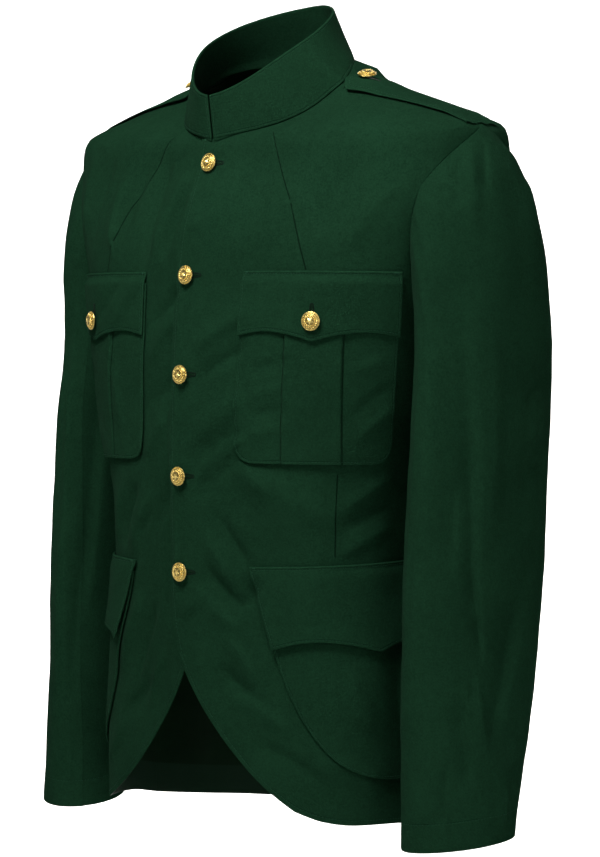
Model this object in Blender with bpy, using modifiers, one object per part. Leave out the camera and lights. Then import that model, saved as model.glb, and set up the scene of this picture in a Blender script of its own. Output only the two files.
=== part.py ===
"""Military dress tunic: stand collar, five-button cutaway front, shoulder straps and four patch pockets.

Metres. +Z is up, the wearer faces -Y and the wearer's left is +X. The origin lies on the middle plane,
level with the side neck points, where the garment hangs on the wearer's shoulders.

Every panel lies on one form: level rings, each a rounded oval, read from the FORM table. A place on the
form is an angle in degrees (0 front centre, 90 left side, 180 back centre) and a height.
"""

import math

import bmesh
import bpy
import numpy as np
from mathutils import Vector

# ---- driving dimensions (metres and degrees) ----
WALL = 0.002  # one layer of cloth with its interlining
GAP = 0.0007  # clearance between a piece and what it lies on
SEAM = 0.0006  # clearance between two pieces that are sewn edge to edge
LAP_LIFT = WALL + 0.0011  # the left front's inner face over the right front
COLLAR_WALL = 0.0026
LAP = 0.014  # how far the left front runs past the button line
UNDERLAP = 0.016  # how far the right front runs under the left one
BUTTON_RADIUS = 0.00875
# height of each front button, and how far its shank is sunk to meet the curved cloth
FRONT_BUTTONS = (
    (-0.0780, 0.0013),
    (-0.1800, 0.0008),
    (-0.2700, 0.0000),
    (-0.3615, 0.0001),
    (-0.4485, 0.0000),
)
CHEST_POCKET_WIDTH = 0.150
CHEST_POCKET_TOP = -0.1765
CHEST_POCKET_DEPTH = 0.172
PLEAT_WIDTH = 0.052
PLEAT_RISE = 0.0032
HIP_POCKET_TOP = -0.4415
HIP_POCKET_BACK = 104.0  # angle of the hip pocket's back edge
STRAP_NECK_END = 0.0905
STRAP_SLEEVE_END = 0.2275
STRAP_LIFT = WALL + 0.0020
STRAP_CENTRE, STRAP_LEAN = -0.005, 0.015  # y at the neck end, and how much further back the sleeve end is
UNDERARM = -0.270

# ---- the form: one row for each level ring ----
# height, half width, y of the front, y of the back, y of the sides
FORM = (
    (0.0300, 0.0200, -0.0100, 0.0500, 0.0120),
    (0.0240, 0.0300, -0.0110, 0.0700, 0.0120),
    (0.0225, 0.0406, -0.0120, 0.0800, 0.0120),
    (0.0195, 0.0571, -0.0135, 0.0840, 0.0120),
    (0.0145, 0.0740, -0.0160, 0.0865, 0.0115),
    (0.0080, 0.0820, -0.0200, 0.0890, 0.0090),
    (0.0000, 0.0900, -0.0238, 0.0920, 0.0060),
    (-0.0100, 0.1240, -0.0250, 0.0980, 0.0000),
    (-0.0225, 0.1620, -0.0365, 0.1065, -0.0010),
    (-0.0360, 0.2030, -0.0570, 0.1145, 0.0025),
    (-0.0480, 0.2325, -0.0745, 0.1200, 0.0060),
    (-0.0560, 0.2350, -0.0830, 0.1225, 0.0075),
    (-0.0620, 0.2352, -0.0850, 0.1240, 0.0080),
    (-0.0780, 0.2345, -0.0875, 0.1270, 0.0080),
    (-0.1000, 0.2300, -0.0960, 0.1300, 0.0070),
    (-0.1200, 0.2250, -0.1046, 0.1320, 0.0060),
    (-0.1460, 0.2135, -0.1134, 0.1330, 0.0050),
    (-0.1800, 0.2020, -0.1170, 0.1320, 0.0040),
    (-0.240, 0.1885, -0.1220, 0.1260, 0.003),
    (-0.290, 0.1800, -0.1250, 0.1180, 0.003),
    (-0.336, 0.1685, -0.1265, 0.1110, 0.003),
    (-0.400, 0.1570, -0.1255, 0.1060, 0.002),
    (-0.450, 0.1545, -0.1248, 0.1080, 0.002),
    (-0.500, 0.1590, -0.1240, 0.1120, 0.002),
    (-0.560, 0.1650, -0.1235, 0.1170, 0.002),
    (-0.640, 0.1680, -0.1235, 0.1220, 0.002),
    (-0.720, 0.1670, -0.1240, 0.1250, 0.002),
)
FRONT_ROUNDNESS, BACK_ROUNDNESS = 2.8, 2.4
PROW_RISE, PROW_REACH = 0.007, 0.035  # the fronts meet in a soft ridge

# angle, height along the neck seam
NECKLINE = (
    (0.0, -0.0575),
    (12.0, -0.0555),
    (23.2, -0.0520),
    (38.7, -0.0445),
    (54.8, -0.0335),
    (62.0, -0.0275),
    (71.0, -0.0190),
    (77.0, -0.0085),
    (80.5, -0.0010),
    (84.0, 0.0060),
    (89.0, 0.0115),
    (94.0, 0.0145),
    (117.0, 0.0195),
    (146.0, 0.0225),
    (180.0, 0.0240),
)
# angle, height of the front half of the armhole, shoulder to underarm
ARMHOLE_FRONT = (
    (90.0, -0.0470),
    (85.0, -0.0570),
    (77.5, -0.0830),
    (73.5, -0.1080),
    (72.5, -0.1300),
    (73.5, -0.1550),
    (76.0, -0.1900),
    (79.5, -0.2280),
    (84.5, -0.2560),
    (90.0, UNDERARM),
)
# angle, height of the back half of the armhole, shoulder to underarm
ARMHOLE_BACK = (
    (90.0, -0.0470),
    (95.0, -0.0570),
    (101.0, -0.0850),
    (105.5, -0.1150),
    (107.5, -0.1500),
    (106.0, -0.1900),
    (101.5, -0.2320),
    (96.0, -0.2580),
    (90.0, UNDERARM),
)
# x, height of the front edge, from where it leaves the straight to its lowest point
CUTAWAY = (
    (-0.0140, -0.4700),
    (-0.0100, -0.5080),
    (0.0018, -0.5400),
    (0.0188, -0.5680),
    (0.0370, -0.5930),
    (0.0600, -0.6190),
    (0.0830, -0.6400),
    (0.1120, -0.6600),
    (0.1350, -0.6690),
    (0.1510, -0.6720),
)
# angle, height of the hem behind the cutaway
HEM = (
    (62.0, -0.6720),
    (78.0, -0.6725),
    (90.0, -0.6780),
    (115.0, -0.6850),
    (180.0, -0.6880),
)
# height, x of centre, y of centre, half thickness, half breadth, twist
SLEEVE = (
    (-0.300, 0.2250, 0.0180, 0.0425, 0.0840, 0.0),
    (-0.345, 0.2262, 0.0135, 0.0425, 0.0825, 2.0),
    (-0.390, 0.2275, 0.0085, 0.0420, 0.0800, 5.0),
    (-0.437, 0.2295, 0.0025, 0.0400, 0.0780, 8.0),
    (-0.485, 0.2318, -0.0035, 0.0385, 0.0750, 11.0),
    (-0.530, 0.2335, -0.0095, 0.0380, 0.0705, 14.0),
    (-0.575, 0.2345, -0.0155, 0.0380, 0.0655, 17.0),
    (-0.612, 0.2350, -0.0200, 0.0382, 0.0610, 20.0),
    (-0.647, 0.2355, -0.0245, 0.0385, 0.0565, 23.0),
    (-0.684, 0.2360, -0.0290, 0.0375, 0.0540, 25.0),
)
CUFF_TILT = 0.005  # the cuff's back edge lies this much higher than its front edge
SLEEVE_SEAM_BACK, SLEEVE_SEAM_FRONT = 112.0, 246.0  # turn round the sleeve from its outer side
# y, height of the collar's top edge
RIM_HEIGHT = (
    (-0.102, -0.0155),
    (-0.0845, 0.0010),
    (-0.064, 0.0190),
    (-0.030, 0.0410),
    (0.000, 0.0560),
    (0.030, 0.0680),
    (0.054, 0.0765),
)
RIM_HALF_WIDTH, RIM_CENTRE = 0.0640, -0.0275
RIM_FRONT_ROUNDNESS, RIM_BACK_ROUNDNESS = 1.8, 1.6
COLLAR_END_GAP = 0.0012  # half the gap between the collar's two ends
# height, x of the hip pocket's front edge
HIP_POCKET_EDGE = (
    (-0.4530, 0.0735),
    (-0.4860, 0.0835),
    (-0.5180, 0.0940),
    (-0.5470, 0.1037),
    (-0.5750, 0.1160),
    (-0.5980, 0.1295),
    (-0.6130, 0.1407),
    (-0.6220, 0.1495),
    (-0.6290, 0.1580),
    (-0.6320, 0.1640),
)

GREEN = (0.006, 0.040, 0.020, 1.0)
GOLD = (0.78, 0.49, 0.11, 1.0)


# ---- reading the tables ----
def curve_through(rows, column, key=0):
    """A smooth function through one column of the rows that never overshoots them."""
    table = np.array(sorted(rows, key=lambda row: row[key]))
    at, value = table[:, key], table[:, column]
    step = np.diff(at)
    slope = np.diff(value) / step
    bend = np.zeros(len(at))
    bend[0], bend[-1] = slope[0], slope[-1]
    for i in range(1, len(at) - 1):
        if slope[i - 1] * slope[i] > 0:
            before, after = 2 * step[i] + step[i - 1], step[i] + 2 * step[i - 1]
            bend[i] = (before + after) / (before / slope[i - 1] + after / slope[i])

    def read(where):
        where = np.clip(where, at[0], at[-1])
        i = np.clip(np.searchsorted(at, where) - 1, 0, len(at) - 2)
        t = (where - at[i]) / step[i]
        start = (1 + 2 * t) * (1 - t) ** 2 * value[i] + t * (1 - t) ** 2 * step[i] * bend[i]
        end = t * t * (3 - 2 * t) * value[i + 1] + t * t * (t - 1) * step[i] * bend[i + 1]
        return start + end

    return read


half_width = curve_through(FORM, 1)
front_y = curve_through(FORM, 2)
back_y = curve_through(FORM, 3)
side_y = curve_through(FORM, 4)
neck_height = curve_through(NECKLINE, 1)
hem_height = curve_through(HEM, 1)
rim_height = curve_through(RIM_HEIGHT, 1)


def path_through(rows, count):
    """Evenly spaced points along a table of (angle, height) or (x, height) rows."""
    return path_at(rows, np.linspace(0, 1, count))


def path_at(rows, shares):
    """Points at these shares of the way along a table of (angle, height) or (x, height) rows."""
    points = np.array(rows)
    scale = np.array((0.0033, 1.0)) if np.abs(points[:, 0]).max() > 1 else np.ones(2)
    run = np.concatenate([[0], np.cumsum(np.linalg.norm(np.diff(points * scale, axis=0), axis=1))])
    keyed = np.column_stack([run, points])
    places = np.asarray(shares) * run[-1]
    return np.column_stack([curve_through(keyed, 1)(places), curve_through(keyed, 2)(places)])


# ---- the form ----
def form_point(angle, height):
    """Points on the inner face of the cloth."""
    turn, height = np.broadcast_arrays(np.radians(np.asarray(angle, float)), np.asarray(height, float))
    side = side_y(height)
    ahead = np.cos(turn) >= 0
    depth = np.where(ahead, side - front_y(height), back_y(height) - side)
    power = np.where(ahead, FRONT_ROUNDNESS, BACK_ROUNDNESS)
    across, along = np.abs(np.sin(turn)) / half_width(height), np.abs(np.cos(turn)) / depth
    reach = (across**power + along**power) ** (-1 / power)
    x = reach * np.sin(turn)
    prow = np.where(ahead, PROW_RISE * np.exp(-((x / PROW_REACH) ** 2)), 0)
    return np.stack([x, side - reach * np.cos(turn) - prow, height], -1)


def form_normal(angle, height):
    angle, height = np.asarray(angle, float), np.asarray(height, float)
    around = form_point(angle + 0.05, height) - form_point(angle - 0.05, height)
    upward = form_point(angle, height + 2e-4) - form_point(angle, height - 2e-4)
    normal = np.cross(around, upward)
    return normal / np.linalg.norm(normal, axis=-1, keepdims=True)


def raised(angle, height, lift):
    """Points that stand off the form by lift."""
    lift = np.broadcast_to(np.asarray(lift, float), np.broadcast(angle, height).shape)
    return form_point(angle, height) + form_normal(angle, height) * lift[..., None]


def angle_at(x, height):
    """The angle at which the front of the ring reaches x."""
    side, power = side_y(height), FRONT_ROUNDNESS
    share = np.clip(1 - np.abs(x / half_width(height)) ** power, 0, 1) ** (1 / power)
    return np.degrees(np.arctan2(x, (side - front_y(height)) * share))


def walk(height, start, distance):
    """The angle reached by going a distance round the ring from a start angle."""
    angles = np.linspace(-30, 150, 361)
    ring = form_point(angles, np.full(angles.shape, float(height)))
    run = np.concatenate([[0], np.cumsum(np.linalg.norm(np.diff(ring, axis=0), axis=1))])
    return np.interp(np.interp(start, angles, run) + distance, run, angles)


def shoulder_place(x, y):
    """The (angle, height) at which the top of the shoulder passes over (x, y)."""
    low, high = -0.060, 0.020
    for _ in range(40):
        height = (low + high) / 2
        side = side_y(height)
        depth = side - front_y(height) if y < side else back_y(height) - side
        power = FRONT_ROUNDNESS if y < side else BACK_ROUNDNESS
        outside = abs(x / half_width(height)) ** power + abs((y - side) / depth) ** power > 1
        low, high = (low, height) if outside else (height, high)
    return math.degrees(math.atan2(x, side_y(height) - y)), height


# ---- building solids ----
def fresh_scene():
    for thing in list(bpy.data.objects):
        bpy.data.objects.remove(thing, do_unlink=True)
    collection = bpy.data.collections.new("military_dress_tunic")
    bpy.context.scene.collection.children.link(collection)
    return collection


def finish(name, colour, roughness, metallic):
    material = bpy.data.materials.new(name)
    material.use_nodes = True
    shader = material.node_tree.nodes["Principled BSDF"]
    shader.inputs["Base Color"].default_value = colour
    shader.inputs["Roughness"].default_value = roughness
    shader.inputs["Metallic"].default_value = metallic
    return material


def mirrored(grid):
    """The same grid on the wearer's other side, with its columns turned round so that it faces out."""
    return (grid * np.array((-1.0, 1.0, 1.0)))[:, ::-1]


def wall(name, outer, inner, collection, material):
    """A closed solid between two grids of points whose rows run up and columns run to the wearer's left.

    Sewn edges meet their neighbour along a shared direction, which Solidify can't be told, so the inner
    face is given too.
    """
    rows, columns = outer.shape[:2]
    mesh = bpy.data.meshes.new(name)
    work = bmesh.new()
    faces = {}
    for side, grid in (("outer", outer), ("inner", inner)):
        faces[side] = [[work.verts.new(point) for point in row] for row in grid.tolist()]
    out, back = faces["outer"], faces["inner"]
    for i in range(rows - 1):
        for j in range(columns - 1):
            work.faces.new((out[i][j], out[i][j + 1], out[i + 1][j + 1], out[i + 1][j]))
            work.faces.new((back[i][j], back[i + 1][j], back[i + 1][j + 1], back[i][j + 1]))
    border = [(0, j) for j in range(columns)]
    border += [(i, columns - 1) for i in range(1, rows)]
    border += [(rows - 1, j) for j in range(columns - 2, -1, -1)]
    border += [(i, 0) for i in range(rows - 2, 0, -1)]
    for (i, j), (k, m) in zip(border, border[1:] + border[:1]):
        work.faces.new((out[i][j], back[i][j], back[k][m], out[k][m]))
    bmesh.ops.triangulate(work, faces=work.faces, quad_method="SHORT_EDGE")
    work.to_mesh(mesh)
    work.free()
    mesh.shade_smooth()
    mesh.set_sharp_from_angle(angle=math.radians(50))
    thing = bpy.data.objects.new(name, mesh)
    mesh.materials.append(material)
    collection.objects.link(thing)
    return thing


def both_sides(name, outer, inner, collection, material):
    wall(name + "_left", outer, inner, collection, material)
    wall(name + "_right", mirrored(outer), mirrored(inner), collection, material)


def patch_between(bottom, top, left, right, rises=None):
    """A grid of (angle, height) that fills the space between four edges (a Coons patch)."""
    s = np.linspace(0, 1, len(bottom))[None, :, None]
    rises = np.linspace(0, 1, len(left)) if rises is None else rises
    t = rises[:, None, None]
    ruled = (1 - t) * bottom[None] + t * top[None] + (1 - s) * left[:, None] + s * right[:, None]
    corners = (1 - s) * (1 - t) * bottom[0] + s * (1 - t) * bottom[-1]
    corners = corners + (1 - s) * t * top[0] + s * t * top[-1]
    return ruled - corners


# ---- the fronts and the back ----
FRONT_COLUMNS, BACK_COLUMNS = 18, 29
CUTAWAY_ROWS, LOWER_ROWS = 9, 12  # rows beside the cutaway, and from the hem to the underarm
# angles at which the panels and the collar have a row of points round the neck
FRONT_NECK = (14.0, 28.0, 42.0, 55.0, 66.0, 74.0, 78.6, 82.0, 90.0)
BACK_NECK = (90.0, 103.0, 116.0, 129.0, 142.0, 155.0, 168.0, 180.0)
# share of the way from the underarm to the shoulder of each row, closer where the shoulder turns over
RISES = np.array((0.0, 0.13, 0.25, 0.36, 0.46, 0.55, 0.635, 0.71, 0.775, 0.83, 0.875, 0.912, 0.943, 0.97, 1.0))


def neck_places(angles):
    return np.column_stack([angles, neck_height(angles)])


def shoulder_places(count):
    """Points along the shoulder seam, from beside the neck to the armhole."""
    reach = np.linspace(0, 1, count + 1)[1:] ** 1.35
    widths = neck_point_width() + reach * (half_width(ARMHOLE_FRONT[0][1]) - neck_point_width())
    heights = np.array([ridge_height(width) for width in widths])
    heights[-1] = ARMHOLE_FRONT[0][1]
    return np.column_stack([np.full(count, 90.0), heights])


def neck_point_width():
    return half_width(neck_height(90.0))


def ridge_height(width):
    """The height at which the shoulder line is this far out."""
    low, high = ARMHOLE_FRONT[0][1], float(neck_height(90.0))
    for _ in range(40):
        middle = (low + high) / 2
        low, high = (low, middle) if half_width(middle) < width else (middle, high)
    return (low + high) / 2


def front_places(edge_x):
    """The (angle, height) grid of a front whose straight edge lies at edge_x."""
    side = np.column_stack([np.full(LOWER_ROWS, 90.0), np.linspace(hem_height(90.0), UNDERARM, LOWER_ROWS)])
    cut = np.array(CUTAWAY)
    cut[:, 0] += (edge_x + LAP) * np.clip((cut[:, 1] + 0.60) / 0.13, 0, 1)
    corner = 7  # the row of CUTAWAY at which the front edge turns into the hem
    edge_down = path_through(cut[: corner + 1], CUTAWAY_ROWS)[::-1]
    straight = np.linspace(CUTAWAY[0][1], UNDERARM, LOWER_ROWS - CUTAWAY_ROWS + 1)[1:]
    edge = np.vstack([edge_down, np.column_stack([np.full(len(straight), edge_x), straight])])
    left = np.column_stack([angle_at(edge[:, 0], edge[:, 1]), edge[:, 1]])
    hem_x = [(angle_at(x, z), z) for x, z in cut[corner:]] + [row for row in HEM[1:3]]
    bottom = path_through(hem_x, FRONT_COLUMNS)
    middle_angles = np.linspace(left[-1, 0], 90.0, FRONT_COLUMNS)
    middle = np.column_stack([middle_angles, np.full(FRONT_COLUMNS, UNDERARM)])
    lower = patch_between(bottom, middle, left, side)
    first_angle = float(angle_at(edge_x, neck_height(0.0)))
    neck = neck_places(np.array((first_angle, *FRONT_NECK)))
    top = np.vstack([neck, shoulder_places(FRONT_COLUMNS - len(neck))])
    rise = UNDERARM + RISES * (top[0, 1] - UNDERARM)
    edge_up = np.column_stack([angle_at(np.full(len(rise), edge_x), rise), rise])
    upper = patch_between(middle, top, edge_up, path_at(ARMHOLE_FRONT, 1 - RISES), RISES)
    return np.vstack([lower, upper[1:]])


def back_places():
    """The (angle, height) grid of the back, from the left side seam round to the right one."""
    half = BACK_COLUMNS // 2 + 1
    spread = np.linspace(90, 180, half)
    bottom = np.column_stack([spread, hem_height(spread)])
    middle = np.column_stack([spread, np.full(half, UNDERARM)])
    heights = np.linspace(0, 1, LOWER_ROWS)
    side = np.column_stack([np.full(LOWER_ROWS, 90.0), hem_height(90.0) + heights * (UNDERARM - hem_height(90.0))])
    spine = np.column_stack([np.full(LOWER_ROWS, 180.0), hem_height(180.0) + heights * (UNDERARM - hem_height(180.0))])
    lower = patch_between(bottom, middle, side, spine)
    neck = neck_places(np.array(BACK_NECK))
    top = np.vstack([shoulder_places(half - len(neck))[::-1], neck])
    rise = UNDERARM + RISES * (neck_height(180.0) - UNDERARM)
    spine = np.column_stack([np.full(len(rise), 180.0), rise])
    upper = patch_between(middle, top, path_at(ARMHOLE_BACK, 1 - RISES), spine, RISES)
    left = np.vstack([lower, upper[1:]])
    right = left[:, ::-1][:, 1:] * np.array((-1.0, 1.0)) + np.array((360.0, 0.0))
    return np.hstack([left, right])


def clear_of_seam(places, first, last):
    """Draws a grid back from the seams at its first and last angles by half their clearance."""
    margin = np.degrees(SEAM / 2 / half_width(places[..., 1]))
    places[..., 0] = np.clip(places[..., 0], first + margin, last - margin)
    return places


def lap_lift(angle, height):
    """How far the left front stands off the form where it lies over the right front."""
    x = form_point(angle, height)[..., 0]
    t = np.clip((0.060 - x) / 0.036, 0, 1)
    return LAP_LIFT * t * t * (3 - 2 * t)


def build_fronts(collection, cloth):
    left = clear_of_seam(front_places(-LAP), -45.0, 90.0)
    lift = lap_lift(left[..., 0], left[..., 1])
    outer = raised(left[..., 0], left[..., 1], lift + WALL)
    inner = raised(left[..., 0], left[..., 1], lift)
    wall("front_left", outer, inner, collection, cloth)
    right = clear_of_seam(front_places(-UNDERLAP), -45.0, 90.0)
    outer = raised(right[..., 0], right[..., 1], WALL)
    inner = raised(right[..., 0], right[..., 1], 0)
    wall("front_right", mirrored(outer), mirrored(inner), collection, cloth)


def build_back(collection, cloth):
    places = clear_of_seam(back_places(), 90.0, 270.0)
    outer = raised(places[..., 0], places[..., 1], WALL)
    inner = raised(places[..., 0], places[..., 1], 0)
    wall("back", outer, inner, collection, cloth)


# ---- the sleeves ----
CAP_ROWS, TUBE_ROWS = 8, 9


def sleeve_turns(first, last):
    """Turns between two lengthwise seams that fall on the rows of the panels' armhole edges."""
    behind = (1 - RISES[::-1]) * 180
    turns = np.concatenate([behind, 360 - behind])
    turns = np.unique(np.round(np.concatenate([turns - 360, turns]), 6))
    inside = turns[(turns > first + 5) & (turns < last - 5)]
    return np.concatenate([[first], inside, [last]])


def armhole_loop(turns):
    """Places on the armhole for turns of 0 (shoulder), 90 (back), 180 (underarm) and 270 (front)."""
    turns = np.asarray(turns) % 360
    behind = path_at(ARMHOLE_BACK, np.where(turns <= 180, turns, 180) / 180)
    ahead = path_at(ARMHOLE_FRONT, np.where(turns > 180, 360 - turns, 180) / 180)
    return np.where((turns <= 180)[:, None], behind, ahead)


def over_shoulder(turns):
    """1 over the shoulder and beside the arm, 0 under it, as a column."""
    return np.clip((np.cos(np.radians(turns)) + 0.7) / 0.7, 0, 1)[:, None]


def sleeve_section(turns, height):
    """A level ring of the sleeve's outer face."""
    read = [float(curve_through(SLEEVE, column)(height)) for column in range(1, 6)]
    centre_x, centre_y, thin, broad, twist = read
    turns, twist = np.radians(turns), math.radians(twist)
    out, back = thin * np.cos(turns), broad * np.sin(turns)
    x = centre_x + out * math.cos(twist) + back * math.sin(twist)
    y = centre_y - out * math.sin(twist) + back * math.cos(twist)
    return np.column_stack([x, y, np.full(len(turns), height)])


def sleeve_faces(turns):
    """Outer and inner grids of the left sleeve for these turns, cuff first."""
    lower = np.linspace(SLEEVE[-1][0], SLEEVE[0][0], TUBE_ROWS)
    rows = [sleeve_section(turns, height) for height in lower]
    hem = rows[0]
    hem[:, 2] += CUFF_TILT * np.sin(np.radians(turns))
    places = armhole_loop(turns)
    seam = raised(places[:, 0], places[:, 1], WALL)
    seam_normal = form_normal(places[:, 0], places[:, 1])
    ring = rows[-1]
    overhead = (np.cos(np.radians(turns)) + 1) / 2  # 1 at the shoulder, 0 at the underarm
    behind = np.clip(np.sin(np.radians(turns)), 0, 1)
    before = np.clip(-np.sin(np.radians(turns)), 0, 1)
    leave_x = 0.12 + 0.50 * overhead
    leave_y = 0.62 * behind - 0.25 * before
    leave_z = -0.95 + 0.42 * overhead + 0.28 * behind
    leave = np.column_stack([leave_x, leave_y, leave_z])
    leave /= np.linalg.norm(leave, axis=1, keepdims=True)
    length = np.linalg.norm(ring - seam, axis=1)
    after, earlier = armhole_loop(turns + 1.0), armhole_loop(turns - 1.0)
    along = form_point(after[:, 0], after[:, 1]) - form_point(earlier[:, 0], earlier[:, 1])
    into_hole = np.cross(along / np.linalg.norm(along, axis=1, keepdims=True), seam_normal)
    # over the shoulder the sleeve stands clear of the panels' ends, and under the arm of their faces
    over = over_shoulder(turns)
    start = seam + (into_hole * over + seam_normal * (1 - over)) * SEAM + leave * SEAM / 2
    first = start + leave * (length * (0.30 - 0.09 * overhead))[:, None]
    second = ring + np.array((0.0, 0.0, 1.0)) * (length * (0.32 + 0.14 * overhead))[:, None]
    second[:, 1] += 0.012 * np.sqrt(overhead)
    cap = []
    for t in np.linspace(1, 0, CAP_ROWS + 1)[1:]:
        a, b, c, d = (1 - t) ** 3, 3 * t * (1 - t) ** 2, 3 * t * t * (1 - t), t**3
        cap.append(a * start + b * first + c * second + d * ring)
    outer = np.array(rows + cap)
    return outer, seam_normal


def grid_normals(grid):
    up = np.gradient(grid, axis=0)
    around = np.gradient(grid, axis=1)
    normal = np.cross(around, up)
    return normal / np.linalg.norm(normal, axis=-1, keepdims=True)


def build_sleeves(collection, cloth):
    clear = math.degrees(SEAM / 2 / 0.055)
    pieces = (
        ("sleeve_top", SLEEVE_SEAM_FRONT - 360 + clear, SLEEVE_SEAM_BACK - clear),
        ("sleeve_under", SLEEVE_SEAM_BACK + clear, SLEEVE_SEAM_FRONT - clear),
    )
    for name, first, last in pieces:
        turns = sleeve_turns(first, last)
        outer, seam_normal = sleeve_faces(turns)
        before, after = sleeve_faces(turns - 2.0)[0], sleeve_faces(turns + 2.0)[0]
        normal = np.cross(after - before, np.gradient(outer, axis=0))
        normal /= np.linalg.norm(normal, axis=-1, keepdims=True)
        # over the shoulder the wall's end is cut to the panels' end, and under the arm it is square
        over = over_shoulder(turns)
        normal[-1] = normal[-1] * (1 - over) + seam_normal * over
        normal[-1] /= np.linalg.norm(normal[-1], axis=-1, keepdims=True)
        both_sides(name, outer, outer - normal * WALL, collection, cloth)


# ---- the collar ----
COLLAR_ROWS = 5


def build_collar(collection, cloth):
    first = float(np.degrees(np.arctan2(COLLAR_END_GAP, 0.09)))
    left = np.array((first, *FRONT_NECK, *BACK_NECK[1:]))
    angles = np.concatenate([left, 360 - left[:-1][::-1]])
    half = np.where(angles <= 180, angles, 360 - angles)
    side = np.where(angles <= 180, 1.0, -1.0)
    heights = neck_height(half)
    lap = lap_lift(half, heights)
    foot = raised(half, heights, lap + WALL + GAP + 0.0002)
    normal = form_normal(half, heights)
    foot[:, 0] *= side
    normal[:, 0] *= side
    along = np.gradient(foot, axis=0)
    inward = np.cross(along, normal)
    inward /= np.linalg.norm(inward, axis=1, keepdims=True)
    if np.dot(inward[0], (0.0, 1.0, 0.0)) < 0:
        inward = -inward
    turn = np.radians(half)
    depth = np.where(half < 90, RIM_CENTRE - RIM_HEIGHT[0][0], RIM_HEIGHT[-1][0] - RIM_CENTRE)
    power = np.where(half < 90, RIM_FRONT_ROUNDNESS, RIM_BACK_ROUNDNESS)
    share = np.clip(1 - np.abs(np.cos(turn)) ** power, 0, 1) ** (1 / power)
    rim_x = np.maximum(RIM_HALF_WIDTH * share, COLLAR_END_GAP) * side
    rim_y = RIM_CENTRE - depth * np.cos(turn)
    rim = np.column_stack([rim_x, rim_y, rim_height(rim_y)])
    bottom_out = foot
    bottom_in = foot + inward * (COLLAR_WALL + 0.0006) - normal * WALL
    outer = [bottom_out]
    for share in np.linspace(0, 1, COLLAR_ROWS)[1:]:
        outer.append(bottom_out * (1 - share) + rim * share)
    outer = np.array(outer)
    outward = grid_normals(outer)
    inner = outer - outward * COLLAR_WALL
    inner[0] = bottom_in
    outer[:, 0, 0] = np.maximum(outer[:, 0, 0], COLLAR_END_GAP)
    inner[:, 0, 0] = np.maximum(inner[:, 0, 0], COLLAR_END_GAP)
    outer[:, -1, 0] = np.minimum(outer[:, -1, 0], -COLLAR_END_GAP)
    inner[:, -1, 0] = np.minimum(inner[:, -1, 0], -COLLAR_END_GAP)
    wall("collar", outer, inner, collection, cloth)


# ---- the shoulder straps ----
def build_straps(collection, cloth):
    # x, half width, in order from the neck to the sleeve
    outline = ((0.0, 0.009), (0.011, 0.0185), (0.030, 0.0200), (0.140, 0.0240))
    width_at = curve_through(outline, 1)
    runs = np.concatenate([[0.0, 0.005, 0.011], np.linspace(0.022, STRAP_SLEEVE_END - STRAP_NECK_END, 9)])
    across = np.linspace(-1, 1, 8)
    places = np.empty((len(across), len(runs), 2))
    for i, share in enumerate(across):
        for j, run in enumerate(runs):
            y = STRAP_CENTRE + STRAP_LEAN * (run / runs[-1]) ** 2 + share * float(width_at(run))
            places[i, j] = shoulder_place(STRAP_NECK_END + run, y)
    bow = 0.0012 * np.sin(np.pi * np.clip(runs / runs[-1], 0, 1)) ** 0.7
    lift = STRAP_LIFT + np.broadcast_to(bow, places.shape[:2])
    inner = raised(places[..., 0], places[..., 1], lift)
    outer = raised(places[..., 0], places[..., 1], lift + WALL)
    both_sides("shoulder_strap", outer, inner, collection, cloth)


# ---- the pockets ----
def scallop(share, corner, arch, point):
    """Depth of a flap at a share of its width: a corner, an arch, a centre point, and back."""
    s = np.abs(2 * share - 1)
    inner = arch + (point - arch) * np.clip(1 - s / 0.58, 0, 1) ** 1.7
    outer = arch + (corner - arch) * np.clip((s - 0.58) / 0.42, 0, 1) ** 2
    return np.where(s < 0.58, inner, outer)


def chest_edge(height):
    """x of the chest pocket's front edge, which leans in a little towards the waist."""
    fall = (CHEST_POCKET_TOP - height) / CHEST_POCKET_DEPTH
    return 0.0610 - 0.0055 * fall


def chest_place(distance, height):
    return walk(height, angle_at(chest_edge(height), height), distance)


PATCH_LIFT = WALL + GAP + 0.0001
FLAP_LIFT = PATCH_LIFT + WALL + GAP


def pleat_rise(distance, fall):
    """The box pleat's height: a raised band with steep sides that flattens into the bottom seam."""
    off_centre = np.abs(distance - CHEST_POCKET_WIDTH / 2)
    side = np.clip((PLEAT_WIDTH / 2 + 0.0008 - off_centre) / 0.0016, 0, 1)
    return PLEAT_RISE * side * (1 - 0.65 * np.clip(fall, 0, 1) ** 2)


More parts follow.
